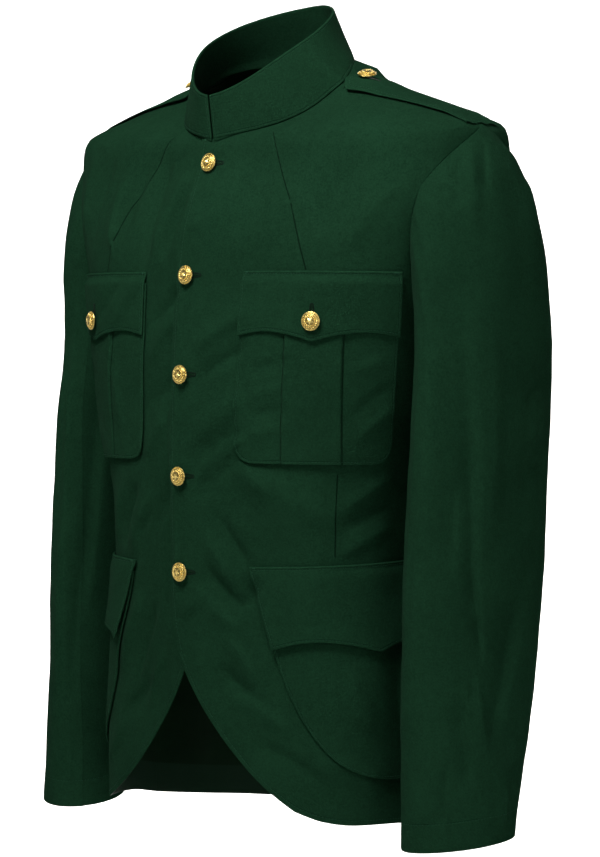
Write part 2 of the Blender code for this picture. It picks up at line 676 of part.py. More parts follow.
def build_chest_pockets(collection, cloth):
    half, pleat = CHEST_POCKET_WIDTH / 2, PLEAT_WIDTH / 2
    flat = [0.0, 0.009, 0.018, 0.028, 0.038, half - pleat - 0.0008]
    raised_band = [half - pleat + 0.0008, half - 0.009, half + 0.009]
    distances = np.array(flat + raised_band + [2 * half - d for d in ([raised_band[0]] + flat[::-1])])
    falls = np.array([0.011, 0.040, 0.070, 0.100, 0.130, 0.150, 0.162, 0.169, 0.172])
    radius = 0.019
    places = np.empty((len(falls), len(distances), 2))
    for i, fall in enumerate(falls[::-1]):
        height = CHEST_POCKET_TOP - fall
        over = max(0.0, fall - (CHEST_POCKET_DEPTH - radius))
        inset = radius - math.sqrt(max(radius**2 - over**2, 0.0)) if over < radius else radius
        for j, distance in enumerate(distances):
            kept = min(max(distance, inset * 0.92), 2 * half - inset * 0.92)
            places[i, j] = chest_place(kept, height), height
    for row in places:
        row[:6, 0] = spread_end(row[:6, 0])
        row[-6:, 0] = spread_end(row[-6:, 0][::-1])[::-1]
    lift = PATCH_LIFT + WALL + pleat_rise(distances[None, :], falls[::-1][:, None] / CHEST_POCKET_DEPTH)
    outer = raised(places[..., 0], places[..., 1], lift)
    inner = raised(places[..., 0], places[..., 1], PATCH_LIFT)
    both_sides("chest_pocket", outer, inner, collection, cloth)


def spread_end(angles):
    """Evens out a row's end columns where the rounded corner has pushed them together."""
    even = np.linspace(angles[0], angles[-1], len(angles))
    return even if angles[1] - angles[0] < 0.2 * (angles[-1] - angles[0]) / 4 else angles


def build_chest_flaps(collection, cloth):
    shares = np.linspace(0, 1, 15)
    depth = scallop(shares, 0.0585, 0.0540, 0.0630)
    steps = np.array([0.0, 0.004, 0.0095])
    rows = []
    lifts = []
    for step in steps:
        rows.append(np.full(len(shares), step))
        lifts.append(PATCH_LIFT + 0.0003 if step < 0.005 else FLAP_LIFT)
    for share in (0.35, 0.55, 0.78, 1.0):
        rows.append(depth * share)
        lifts.append(FLAP_LIFT)
    falls = np.array(rows)[::-1]
    lifts = np.array(lifts)[::-1]
    distances = shares * CHEST_POCKET_WIDTH
    places = np.empty(falls.shape + (2,))
    for i in range(len(falls)):
        for j, distance in enumerate(distances):
            height = CHEST_POCKET_TOP - falls[i, j]
            places[i, j] = chest_place(distance, height), height
    near = np.abs(distances - CHEST_POCKET_WIDTH / 2) - PLEAT_WIDTH / 2
    over_pleat = PLEAT_RISE * np.clip(1 - near / 0.012, 0, 1) + 0.0002
    lift = lifts[:, None] + np.where(lifts[:, None] > PATCH_LIFT + 0.0005, over_pleat[None, :], 0)
    inner = raised(places[..., 0], places[..., 1], lift)
    outer = raised(places[..., 0], places[..., 1], lift + WALL)
    both_sides("chest_flap", outer, inner, collection, cloth)


def hip_back_angle(height):
    """Angle of the hip pocket's back edge, which rounds in at the bottom."""
    low = np.clip((-0.598 - height) / 0.034, 0, 1)
    return HIP_POCKET_BACK - 11.0 * (1 - np.sqrt(1 - low**2 * 0.98))


def ring_share(height, first, last, share):
    """The angle at a share of the way round the ring from one angle to another."""
    angles = np.linspace(first, last, 41)
    ring = form_point(angles, np.full(41, float(height)))
    run = np.concatenate([[0], np.cumsum(np.linalg.norm(np.diff(ring, axis=0), axis=1))])
    return np.interp(share * run[-1], run, angles)


def build_hip_pockets(collection, cloth):
    shares = np.linspace(0, 1, 15)
    places = np.empty((len(HIP_POCKET_EDGE), len(shares), 2))
    for i, (height, x) in enumerate(HIP_POCKET_EDGE[::-1]):
        first = float(angle_at(x, height))
        places[i, :, 0] = ring_share(height, first, float(hip_back_angle(height)), shares)
        places[i, :, 1] = height
    inner = raised(places[..., 0], places[..., 1], PATCH_LIFT)
    outer = raised(places[..., 0], places[..., 1], PATCH_LIFT + WALL)
    both_sides("hip_pocket", outer, inner, collection, cloth)


def build_hip_flaps(collection, cloth):
    shares = np.linspace(0, 1, 15)
    depth = scallop(shares, 0.0745, 0.0675, 0.0800)
    rise = 0.0060 * shares
    rows, lifts = [], []
    for step in (0.0, 0.004, 0.0095):
        rows.append(np.full(len(shares), step))
        lifts.append(PATCH_LIFT + 0.0003 if step < 0.005 else FLAP_LIFT)
    for share in (0.35, 0.57, 0.80, 1.0):
        rows.append(depth * share)
        lifts.append(FLAP_LIFT + 0.0030 * share**2)
    falls, lifts = np.array(rows)[::-1], np.array(lifts)[::-1]
    places = np.empty(falls.shape + (2,))
    for i in range(len(falls)):
        for j, share in enumerate(shares):
            height = HIP_POCKET_TOP + rise[j] - falls[i, j]
            first = float(angle_at(0.0696 + 0.325 * falls[i, j], height))
            places[i, j] = ring_share(height, first, HIP_POCKET_BACK + 0.6, share), height
    inner = raised(places[..., 0], places[..., 1], lifts[:, None])
    outer = raised(places[..., 0], places[..., 1], lifts[:, None] + WALL)
    both_sides("hip_flap", outer, inner, collection, cloth)


# ---- the buttons ----
def button_mesh(gilt):
    """A domed button on a shank, as a profile for a Screw modifier: radius and height from the cloth."""
    r = BUTTON_RADIUS
    profile = [(0.0, 0.0068), (0.35 * r, 0.0066), (0.66 * r, 0.0058), (0.88 * r, 0.0044), (r, 0.0030)]
    profile += [(0.97 * r, 0.0022), (0.80 * r, 0.0018), (0.0020, 0.0016), (0.0018, 0.0), (0.0, 0.0)]
    mesh = bpy.data.meshes.new("button")
    points = [(x, 0.0, z) for x, z in profile]
    mesh.from_pydata(points, [(i, i + 1) for i in range(len(points) - 1)], [])
    mesh.materials.append(gilt)
    return mesh


def build_buttons(collection, gilt):
    mesh = button_mesh(gilt)
    seat = 0.0003
    places = []
    on_front = LAP_LIFT + WALL
    for i, (height, sunk) in enumerate(FRONT_BUTTONS):
        places.append((f"button_front_{i + 1}", 0.0, height, on_front - sunk, 1))
    height = CHEST_POCKET_TOP - 0.0445
    angle = float(chest_place(CHEST_POCKET_WIDTH / 2, height))
    on_flap = FLAP_LIFT + PLEAT_RISE + 0.0002 + WALL
    x, y = STRAP_NECK_END + 0.0165, STRAP_CENTRE
    strap_angle, strap_height = shoulder_place(x, y)
    on_strap = STRAP_LIFT + WALL + 0.0012 * math.sin(math.pi * 0.0165 / 0.1385) ** 0.7
    for side, sign in (("left", 1), ("right", -1)):
        places.append((f"button_chest_{side}", angle, height, on_flap, sign))
        places.append((f"button_strap_{side}", strap_angle, strap_height, on_strap, sign))
    for name, angle, height, lift, sign in places:
        spot = raised(angle, height, lift + seat)
        normal = form_normal(angle, height)
        spot[0] *= sign
        normal[0] *= sign
        thing = bpy.data.objects.new(name, mesh)
        thing.location = spot.tolist()
        thing.rotation_mode = "QUATERNION"
        thing.rotation_quaternion = Vector(normal.tolist()).to_track_quat("Z", "Y")
        screw = thing.modifiers.new("turn", "SCREW")
        screw.steps = screw.render_steps = 12
        screw.use_merge_vertices = True
        screw.merge_threshold = 0.00005
        screw.use_smooth_shade = True
        collection.objects.link(thing)


def main():
    collection = fresh_scene()
    cloth = finish("bottle_green_barathea", GREEN, 0.85, 0.0)
    gilt = finish("gilt_brass", GOLD, 0.25, 1.0)
    build_fronts(collection, cloth)
    build_back(collection, cloth)
    build_sleeves(collection, cloth)
    build_collar(collection, cloth)
    build_straps(collection, cloth)
    build_chest_pockets(collection, cloth)
    build_chest_flaps(collection, cloth)
    build_hip_pockets(collection, cloth)
    build_hip_flaps(collection, cloth)
    build_buttons(collection, gilt)


main()
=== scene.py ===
import math

import bmesh
import bpy
import numpy as np
from mathutils import Matrix, Vector
from mathutils.bvhtree import BVHTree
from mathutils.kdtree import KDTree


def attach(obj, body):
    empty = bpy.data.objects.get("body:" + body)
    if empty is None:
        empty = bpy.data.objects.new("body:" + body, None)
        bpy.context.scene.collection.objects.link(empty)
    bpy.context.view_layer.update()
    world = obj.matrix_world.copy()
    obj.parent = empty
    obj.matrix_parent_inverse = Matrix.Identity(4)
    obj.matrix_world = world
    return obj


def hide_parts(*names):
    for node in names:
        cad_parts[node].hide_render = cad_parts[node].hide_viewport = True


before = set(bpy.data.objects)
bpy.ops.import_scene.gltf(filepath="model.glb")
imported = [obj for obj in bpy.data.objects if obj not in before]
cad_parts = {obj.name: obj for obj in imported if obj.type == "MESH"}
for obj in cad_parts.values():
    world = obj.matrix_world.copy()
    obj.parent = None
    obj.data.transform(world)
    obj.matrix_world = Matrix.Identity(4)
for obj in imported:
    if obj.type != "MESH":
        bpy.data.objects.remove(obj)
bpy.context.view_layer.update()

bl_info = {
    "name": "Dress tunic finish",
    "version": (1, 0, 0),
    "blender": (4, 5, 0),
    "location": "View3D > Sidebar > Tunic",
    "description": "Dresses a plain tunic in wool barathea, sewing, lining and gilt buttons",
    "category": "Object",
}

MM = 0.001
FAR = 99.0  # millimetres, for a place that is nowhere near a seam

# ---- the pieces of cloth ----
# node, cut width, cut length, share of that rectangle that is cloth, how it is held, what it lies on;
# a * stands for left and then for right
CUTS = (
    ("front_*", 0.330, 0.655, 0.75, "hung", ()),
    ("back", 0.545, 0.745, 0.845, "hung", ()),
    ("collar", 0.440, 0.075, 0.76, "hung", ("front_left", "front_right", "back")),
    ("sleeve_top_*", 0.255, 0.665, 0.78, "hung", ()),
    ("sleeve_under_*", 0.152, 0.505, 0.86, "hung", ()),
    ("shoulder_strap_*", 0.048, 0.145, 0.96, "laid", ("front_*", "back")),
    ("chest_pocket_*", 0.156, 0.166, 0.97, "laid", ("front_*",)),
    ("chest_flap_*", 0.153, 0.064, 0.94, "laid", ("chest_pocket_*",)),
    ("hip_pocket_*", 0.205, 0.190, 0.80, "laid", ("front_*", "back")),
    ("hip_flap_*", 0.197, 0.086, 0.88, "laid", ("hip_pocket_*",)),
)
SHEETS = tuple(
    (node.replace("*", side), width, length, share, held, [rest.replace("*", side) for rest in rests])
    for node, width, length, share, held, rests in CUTS
    for side in (("left", "right") if "*" in node else ("",))
)
SIDES = (("left", 1), ("right", -1))
BUTTONS = (
    *(f"button_front_{i}" for i in range(1, 6)),
    *(f"button_{place}_{side}" for place in ("chest", "strap") for side, _ in SIDES),
)
# the piece that each kind of button goes through
HOLED = {"front": "front_left", "chest": "chest_flap_*", "strap": "shoulder_strap_*"}

# ---- where things are, from the frame's origin ----
BODY_MIDDLE = 0.004  # y of the middle of the body
NECK_MIDDLE = -0.03  # y of the middle of the neck
ARM_LEVEL = -0.13  # height of the armpits, above which outward is also upward
NECK_POINT = -0.058  # height below which the front edges run
SKIRT_LEVEL = -0.45  # height below which the front edges curve away into the hem
# height, x and y of the left sleeve's centre
SLEEVE_LINE = (
    (-0.05, 0.205, 0.020),
    (-0.30, 0.225, 0.018),
    (-0.40, 0.228, 0.007),
    (-0.50, 0.232, -0.006),
    (-0.60, 0.235, -0.019),
    (-0.69, 0.236, -0.030),
)
# degrees from the centre front and millimetres up, along each dart
NECK_DART = ((36.0, -50.0), (44.0, -114.4), (46.2, -149.5), (48.5, -178.0))
WAIST_DART = ((58.1, -353.0), (58.0, -436.0))
# millimetres round the garment for a degree of turn
BODY_DEGREE, SLEEVE_DEGREE, COLLAR_DEGREE = 2.7, 1.15, 1.15

# ---- how the plain walls become cloth ----
DOUBLES = 0.02 * MM  # corners closer than this are one
FLAT_BEND, FLAT_SKEW = math.radians(50), math.radians(60)  # two triangles within these become one face
SEAM_DRAW = 0.9 * MM  # how far each side of a seam is drawn towards the other
HEAD_DRAW = 1.98 * MM  # the same for a top sleeve, which is eased into the armhole
EDGE_ROUND = 0.6 * MM  # how far a cut edge is rounded
EDGE_TURN = math.radians(48)  # an edge that turns more than this is a cut or folded one
PRESSED_TURN = math.radians(24)  # an edge that still turns more than this is pressed
PRESSED_CREASE = 0.5  # how much of its sharpness a pressed edge keeps
PLEAT_TURN = -0.4  # radians, for an edge where the cloth is folded inwards
# how much a normal points outward, from -1 to 1: at least, on the outside, on a flap's corner that is tacked
# and on cloth that is unwrapped or stitched, and at most, on the inside
OUTER, TACKED, UNWRAPPED, STITCHED, INNER = 0.55, 0.5, 0.4, 0.35, -0.3
# how often a piece's plain faces are halved, where it isn't 3 times
FINENESS = {"back": 2, "chest_flap": 2, "hip_flap": 2, "shoulder_strap": 2}
# millimetres
STRAP_INSET = 5.0  # from a shoulder strap's edge to its row of stitches
SEAM_TURN = 3  # width of wool that shows beyond the hem's row of stitches
FRONT_FACING = 70.0  # width of the wool facing inside the front edges
FACING_NARROWS = (25, 50)  # degrees from the centre front between which it narrows to the hem's width
LINING_LEVEL = -60  # height above which the neck is faced with wool
BODY_CALM, SLEEVE_CALM = 24, 16  # how far from a seam the folds are held back
STILL = 0.06  # share of that in which the cloth doesn't move at all

# ---- how the cloth hangs ----
# A fold runs from one place to another. The columns are the first place's degrees round and millimetres
# up, the last place's, then in millimetres the fold's half width, its height (a trough's is below 0) and
# how far its middle bows aside. Round the body, 0 is the centre front, 90 the wearer's left side and 180
# the centre back.
BODY_FOLDS = (
    # right chest, between the collar and the pocket
    (-35, -56, -25, -172, 9, -3.2, 3),
    (-17, -64, -27, -178, 10, 3.0, -4),
    (-68, -52, -63, -150, 6, 2.2, 2),
    (-61, -55, -57, -156, 5, -2.2, 2),
    (-53, -74, -45, -170, 5, 3.0, 1),
    (-45, -60, -41, -150, 6, -1.6, 0),
    (-10, -88, -15, -170, 8, -1.4, 3),
    # right chest pocket and flap
    (-27, -176, -41, -232, 7, 1.6, 0),
    (-35, -176, -47, -228, 5, -1.8, 2),
    (-45, -240, -35, -330, 8, 1.4, -3),
    (-58, -250, -48, -330, 7, -1.8, 0),
    # beside the edge that laps over
    (-14, -92, -17, -172, 6, -3.0, 0),
    (-9, -160, -10, -345, 5, -3.0, 0),
    (-10, -315, -9, -505, 5, -3.0, 0),
    (-3, -150, -4, -345, 5, 1.1, 0),
    (-4, -315, -3, -500, 5, 1.1, 0),
    (-18, -385, -29, -425, 5, -2.6, 0),
    (-7, -139, 15, -114, 6, 1.2, 2),
    # across the button line
    (2, -186, -25, -234, 7, -2.2, 4),
    (-3, -206, -24, -268, 9, 2.0, 4),
    (-2, -276, -24, -305, 7, -2.0, 3),
    (-5, -300, -25, -352, 9, 2.0, 4),
    (-3, -362, -20, -428, 8, -2.4, 5),
    # left chest, above the pocket
    (71, -92, 57, -170, 9, 1.6, 3),
    (63, -74, 49, -160, 8, -1.4, 3),
    (45, -92, 54, -168, 8, 1.1, 0),
    (16, -95, 25, -168, 10, 0.9, 4),
    # left chest, from the pocket's edge down to the buttons
    (32, -208, 2, -254, 9, 2.4, 3),
    (32, -240, 1, -286, 6, -2.8, 3),
    (31, -286, 2, -338, 10, 2.8, 4),
    (31, -314, 2, -358, 5, -2.6, 3),
    (30, -324, 4, -368, 4, 1.6, 3),
    (30, -340, 4, -386, 6, -2.4, 3),
    # the left chest pocket's bag on each side of its pleat
    (27, -268, 44, -254, 5, -1.1, 0),
    (27, -290, 44, -278, 5, 1.1, 0),
    (27, -307, 44, -297, 5, -1.1, 0),
    (27, -323, 44, -315, 5, 0.9, 0),
    (59, -316, 75, -272, 6, -1.1, -3),
    (61, -334, 78, -292, 6, 1.1, -3),
    (58, -268, 72, -252, 5, 0.9, 0),
    # left waist
    (20, -346, 39, -382, 8, 2.4, -3),
    (25, -350, 62, -412, 14, 3.0, 0),
    (80, -355, 57, -396, 6, 2.2, 0),
    (81, -378, 56, -415, 5, -2.2, 0),
    (81, -401, 57, -434, 6, 2.0, 0),
    (13, -392, 31, -448, 8, -2.6, 0),
    (8, -404, 24, -462, 7, 1.8, 0),
    (9, -440, 28, -484, 8, -2.6, 2),
    (37, -448, 22, -487, 7, -2.2, 0),
    (10, -468, 27, -500, 8, 2.2, 3),
    (27, -440, 37, -528, 6, -2.2, 0),
    (12, -462, -1, -492, 7, 1.8, 0),
    (16, -500, 32, -548, 8, 1.8, -4),
    # left skirt
    (16, -556, 46, -594, 8, 2.2, -6),
    (13, -526, 37, -572, 11, -2.4, 3),
    (30, -600, 55, -640, 8, -1.8, -6),
    (50, -612, 74, -652, 10, 2.2, -8),
    (62, -520, 70, -600, 12, 1.8, 4),
    (78, -510, 82, -640, 9, -2.0, 3),
    # right waist and skirt
    (-17, -378, -34, -442, 10, 3.2, 5),
    (-27, -366, -38, -432, 7, -3.2, 5),
    (-40, -370, -46, -436, 8, 2.2, 0),
    (-24, -462, -41, -556, 8, 2.4, 5),
    (-15, -474, -31, -566, 7, -2.4, 5),
    (-39, -590, -17, -545, 8, -2.2, 0),
    (-11, -516, -23, -584, 7, 2.2, 3),
    (-36, -588, -52, -640, 8, 1.8, 0),
    (-62, -500, -70, -640, 10, 2.0, 3),
    # sides
    (91, -296, 98, -424, 8, -2.2, 4),
    (-92, -288, -99, -410, 8, -2.4, -4),
    (92, -450, 97, -612, 11, 2.2, 0),
    (-91, -446, -98, -604, 11, 2.4, 0),
    # back, down from the shoulder blades
    (117, -96, 124, -236, 10, 3.2, 5),
    (127, -118, 131, -262, 9, -2.6, 4),
    (137, -132, 141, -236, 8, 1.6, 0),
    (-116, -92, -121, -228, 10, 3.0, -5),
    (-125, -126, -131, -276, 9, -2.8, -4),
    (-139, -140, -143, -262, 9, 1.8, 0),
    (176, -66, 177, -196, 15, -1.6, 3),
    (152, -150, 161, -300, 12, 1.5, 3),
    (-154, -138, -158, -286, 11, 1.5, -3),
    # back, small of the waist
    (101, -322, 149, -386, 9, -3.0, 7),
    (106, -352, 162, -404, 9, 2.4, 7),
    (-103, -330, -151, -394, 9, -3.0, -7),
    (-108, -366, -164, -410, 9, 2.2, -7),
    (134, -414, 186, -424, 8, -2.2, 5),
    (150, -436, 218, -440, 8, 1.8, -5),
    (199, -404, 232, -428, 6, -1.8, 3),
    (112, -398, 136, -424, 6, -1.5, 2),
    # back of the skirt
    (150, -448, 134, -574, 13, 2.8, 5),
    (164, -452, 160, -634, 11, -2.2, 3),
    (186, -444, 190, -652, 11, 2.4, -3),
    (206, -452, 219, -612, 11, -2.6, 4),
    (224, -434, 236, -574, 12, 2.8, 3),
    (118, -470, 112, -600, 10, -2.2, 0),
    (244, -476, 250, -612, 10, -2.2, 0),
)
FOLD_ENDS = 0.35  # share of its length over which a fold rises and dies away
FOLD_LEAN = 0.4  # how much wider a fold is on one side than on the other
FOLD_POINT = 1.6  # 2 is a round fold, 1 a sharp one
SWELL = 0.28  # millimetres, for the unevenness between the folds
# length in millimetres, direction and start of each of its waves
SWELL_WAVES = (
    (92, (1.0, 0.3, 0.6), 0.4),
    (61, (0.2, 1.0, -0.7), 2.1),
    (45, (-0.6, 0.5, 1.0), 4.0),
    (29, (0.8, -0.4, 0.5), 5.2),
)
LINING_EASE = 1.6  # share of the depths below
EASE_START = 12  # millimetres above the wool over which the lining comes free
# inside the back, where the lining is cut with ease: degrees round, height, how far the foot is turned,
# half width and depth
LINING_FOLDS = tuple(
    (turn, top, turn + lean, -672, width, depth, 2)
    for turn, top, lean, width, depth in (
        (104, -560, 2, 5, -1.8),
        (117, -430, -3, 6, -2.4),
        (128, -520, 1, 4, -1.6),
        (141, -400, 2, 7, -2.6),
        (152, -540, -2, 4, -1.8),
        (163, -460, 1, 6, -2.4),
        (173, -500, 0, 4, -1.6),
        (184, -330, 2, 8, -2.8),
        (197, -510, -1, 4, -1.8),
        (209, -440, 2, 6, -2.4),
        (222, -540, 1, 5, -1.8),
        (235, -420, -2, 6, -2.6),
        (250, -530, 1, 5, -1.8),
    )
)
# Round an arm, 0 is its outer side, 90 the back, 180 beside the body and 270 the front.
SLEEVE_FOLDS = {
    "left": (
        (294, -170, 299, -420, 13, -3.4, 1),
        (298, -300, 308, -500, 11, -3.6, 0),
        (303, -430, 326, -530, 8, -3.0, 0),
        (276, -130, 273, -500, 11, 2.6, 0),
        (322, -190, 326, -440, 16, 1.8, 0),
        (328, -54, 322, -112, 5, -1.4, 0),
        (298, -60, 301, -130, 6, -1.5, 0),
        (313, -54, 311, -160, 8, 1.5, 0),
        (20, -84, 30, -200, 12, 1.6, -3),
        (64, -268, 8, -296, 10, -2.2, 3),
        (62, -306, 18, -332, 10, 2.0, 3),
        (66, -350, 2, -374, 10, -2.2, 4),
        (62, -388, 16, -420, 11, 1.8, 4),
        (60, -432, 22, -452, 9, -1.4, 3),
        (288, -352, 290, -446, 7, -2.4, 2),
        (388, -440, 340, -600, 18, -3.0, -5),
        (292, -545, 326, -640, 12, -3.0, 3),
        (316, -530, 346, -610, 10, 2.0, 3),
        (336, -560, 400, -606, 10, -1.8, 4),
        (330, -584, 392, -630, 11, 1.4, 4),
        (308, -540, 330, -562, 5, -1.8, 0),
        (291, -600, 290, -672, 4, -1.6, 1),
        (20, -624, 12, -680, 7, 1.4, 0),
        (200, -300, 214, -430, 8, -2.2, 3),
        (150, -320, 140, -470, 9, 2.2, 3),
        (110, -280, 84, -300, 6, -2.6, 3),
        (118, -356, 80, -384, 7, -3.0, 3),
        (112, -392, 84, -416, 7, 2.4, 3),
        (96, -470, 84, -600, 8, 2.0, 3),
        (170, -500, 160, -640, 9, -2.0, 2),
    ),
    "right": (
        (300, -190, 303, -420, 13, -4.0, 0),
        (303, -360, 312, -640, 13, -4.4, 0),
        (267, -176, 262, -636, 6, 2.4, 2),
        (253, -190, 247, -610, 6, -2.4, 3),
        (281, -216, 285, -580, 8, 1.8, 3),
        (294, -150, 296, -400, 9, -2.2, 3),
        (240, -300, 236, -520, 6, 1.8, 0),
        (322, -120, 330, -260, 11, 2.2, 3),
        (350, -96, 342, -230, 12, -2.0, 3),
        (22, -90, 28, -210, 12, 1.8, -3),
        (60, -282, 6, -304, 11, -2.0, 3),
        (64, -318, 14, -346, 11, 1.8, 3),
        (62, -362, 10, -380, 10, -2.0, 4),
        (66, -402, 20, -430, 11, 1.6, 3),
        (316, -340, 346, -452, 10, -2.8, 3),
        (340, -450, 364, -590, 10, -2.6, 3),
        (328, -470, 346, -600, 8, 2.0, 3),
        (340, -590, 398, -622, 10, -1.6, 4),
        (334, -612, 392, -646, 10, 1.2, 4),
        (200, -310, 210, -440, 8, -2.2, 3),
        (146, -330, 138, -460, 9, 2.2, 3),
        (112, -300, 84, -318, 6, -2.6, 3),
        (116, -372, 82, -398, 7, -2.8, 3),
        (98, -450, 86, -610, 8, 2.0, 3),
        (168, -490, 160, -650, 9, -2.0, 2),
    ),
}

# ---- values a user would change ----
class TunicSettings(bpy.types.PropertyGroup):
    cloth_colour: bpy.props.StringProperty(
        name="Cloth colour", description="Barathea in full light, as sRGB hex", default="153120"
    )
    lining_colour: bpy.props.StringProperty(
        name="Lining colour", description="Twilled satin inside the body, as sRGB hex", default="051C0B"
    )
    gilt_colour: bpy.props.StringProperty(
        name="Gilt colour", description="Button metal, as sRGB hex", default="F8DC86"
    )
    hollow_colour: bpy.props.StringProperty(
        name="Hollow colour", description="Toned metal in the buttons' hollows, as sRGB hex", default="4C3208"
    )
    thread_colour: bpy.props.StringProperty(
        name="Thread colour", description="Sewing thread, as sRGB hex", default="1A3E2B"
    )
    hole_colour: bpy.props.StringProperty(
        name="Buttonhole colour", description="Buttonhole thread, as sRGB hex", default="0A1C13"
    )
    twill_spacing: bpy.props.FloatProperty(
        name="Rib spacing", description="Between two ribs of the weave", default=1.1 * MM, subtype="DISTANCE"
    )
    fold_strength: bpy.props.FloatProperty(
        name="Fold strength", description="How deep the folds are, as a share of the depths in the tables",
        default=1.7, subtype="FACTOR",
    )
    stitch_length: bpy.props.FloatProperty(
        name="Stitch length", description="From one needle hole to the next", default=3.0 * MM,
        subtype="DISTANCE",
    )
    edge_inset: bpy.props.FloatProperty(
        name="Edge row", description="From a pocket's edge to its stitches", default=2.6 * MM,
        subtype="DISTANCE",
    )
    front_inset: bpy.props.FloatProperty(
        name="Front row", description="From the front edge to its stitches", default=4.5 * MM,
        subtype="DISTANCE",
    )
    hem_depth: bpy.props.FloatProperty(
        name="Hem depth", description="Cloth turned up inside the cuffs and hem", default=25.0 * MM,
        subtype="DISTANCE",
    )
    button_diameter: bpy.props.FloatProperty(
        name="Button diameter", description="Across the rim", default=17.5 * MM, subtype="DISTANCE"
    )
    hole_length: bpy.props.FloatProperty(
        name="Buttonhole length", description="From end to end of its slit", default=15.5 * MM,
        subtype="DISTANCE",
    )


def settings():
    return bpy.context.scene.tunic


def linear(hex_colour):
    """A colour as a shader takes it, from its sRGB hex value."""
    parts = [int(hex_colour[i : i + 2], 16) / 255 for i in (0, 2, 4)]
    return tuple(c / 12.92 if c <= 0.04045 else ((c + 0.055) / 1.055) ** 2.4 for c in parts) + (1.0,)


def scaled(colour, factor):
    return tuple(c * factor for c in colour[:3]) + (1.0,)


# ---- materials ----
# how many of a pattern's marks go to a metre; the first, the fourth and the last are far finer in life,
# and drawn coarser so that they show
NAP, DYE_SPOTS, DYE_CLOUDS, LINING_THREADS, LINING_CLOUDS = 600.0, 160.0, 14.0, 900.0, 25.0
THREAD_PLIES, DIE_MARKS = 2500.0, 900.0
# painted highlight along pressed edges: how far in it reaches and how much lighter it makes the edge itself
EDGE_HIGHLIGHT_WIDTH = 1.7  # millimetres in from a pressed edge
EDGE_HIGHLIGHT_GAIN = 1.35  # how much lighter the edge itself is
DART_SHADE = 0.4  # share of its colour that the cloth keeps in a dart's seam


def add_node(tree, kind, inputs=(), **values):
    """Adds a node, sets its properties, and fills or links the inputs given as (socket, value or output)."""
    node = tree.nodes.new(kind)
    for key, value in values.items():
        setattr(node, key, value)
    for socket, value in inputs:
        if isinstance(value, bpy.types.NodeSocket):
            tree.links.new(value, node.inputs[socket])
        else:
            node.inputs[socket].default_value = value
    return node


def material_named(name, build):
    """The material of this name, built the first time that it is asked for."""
    found = bpy.data.materials.get(name)
    if found:
        return found
    material = bpy.data.materials.new(name)
    material.use_nodes = True
    build(material.node_tree, material.node_tree.nodes["Principled BSDF"])
    return material


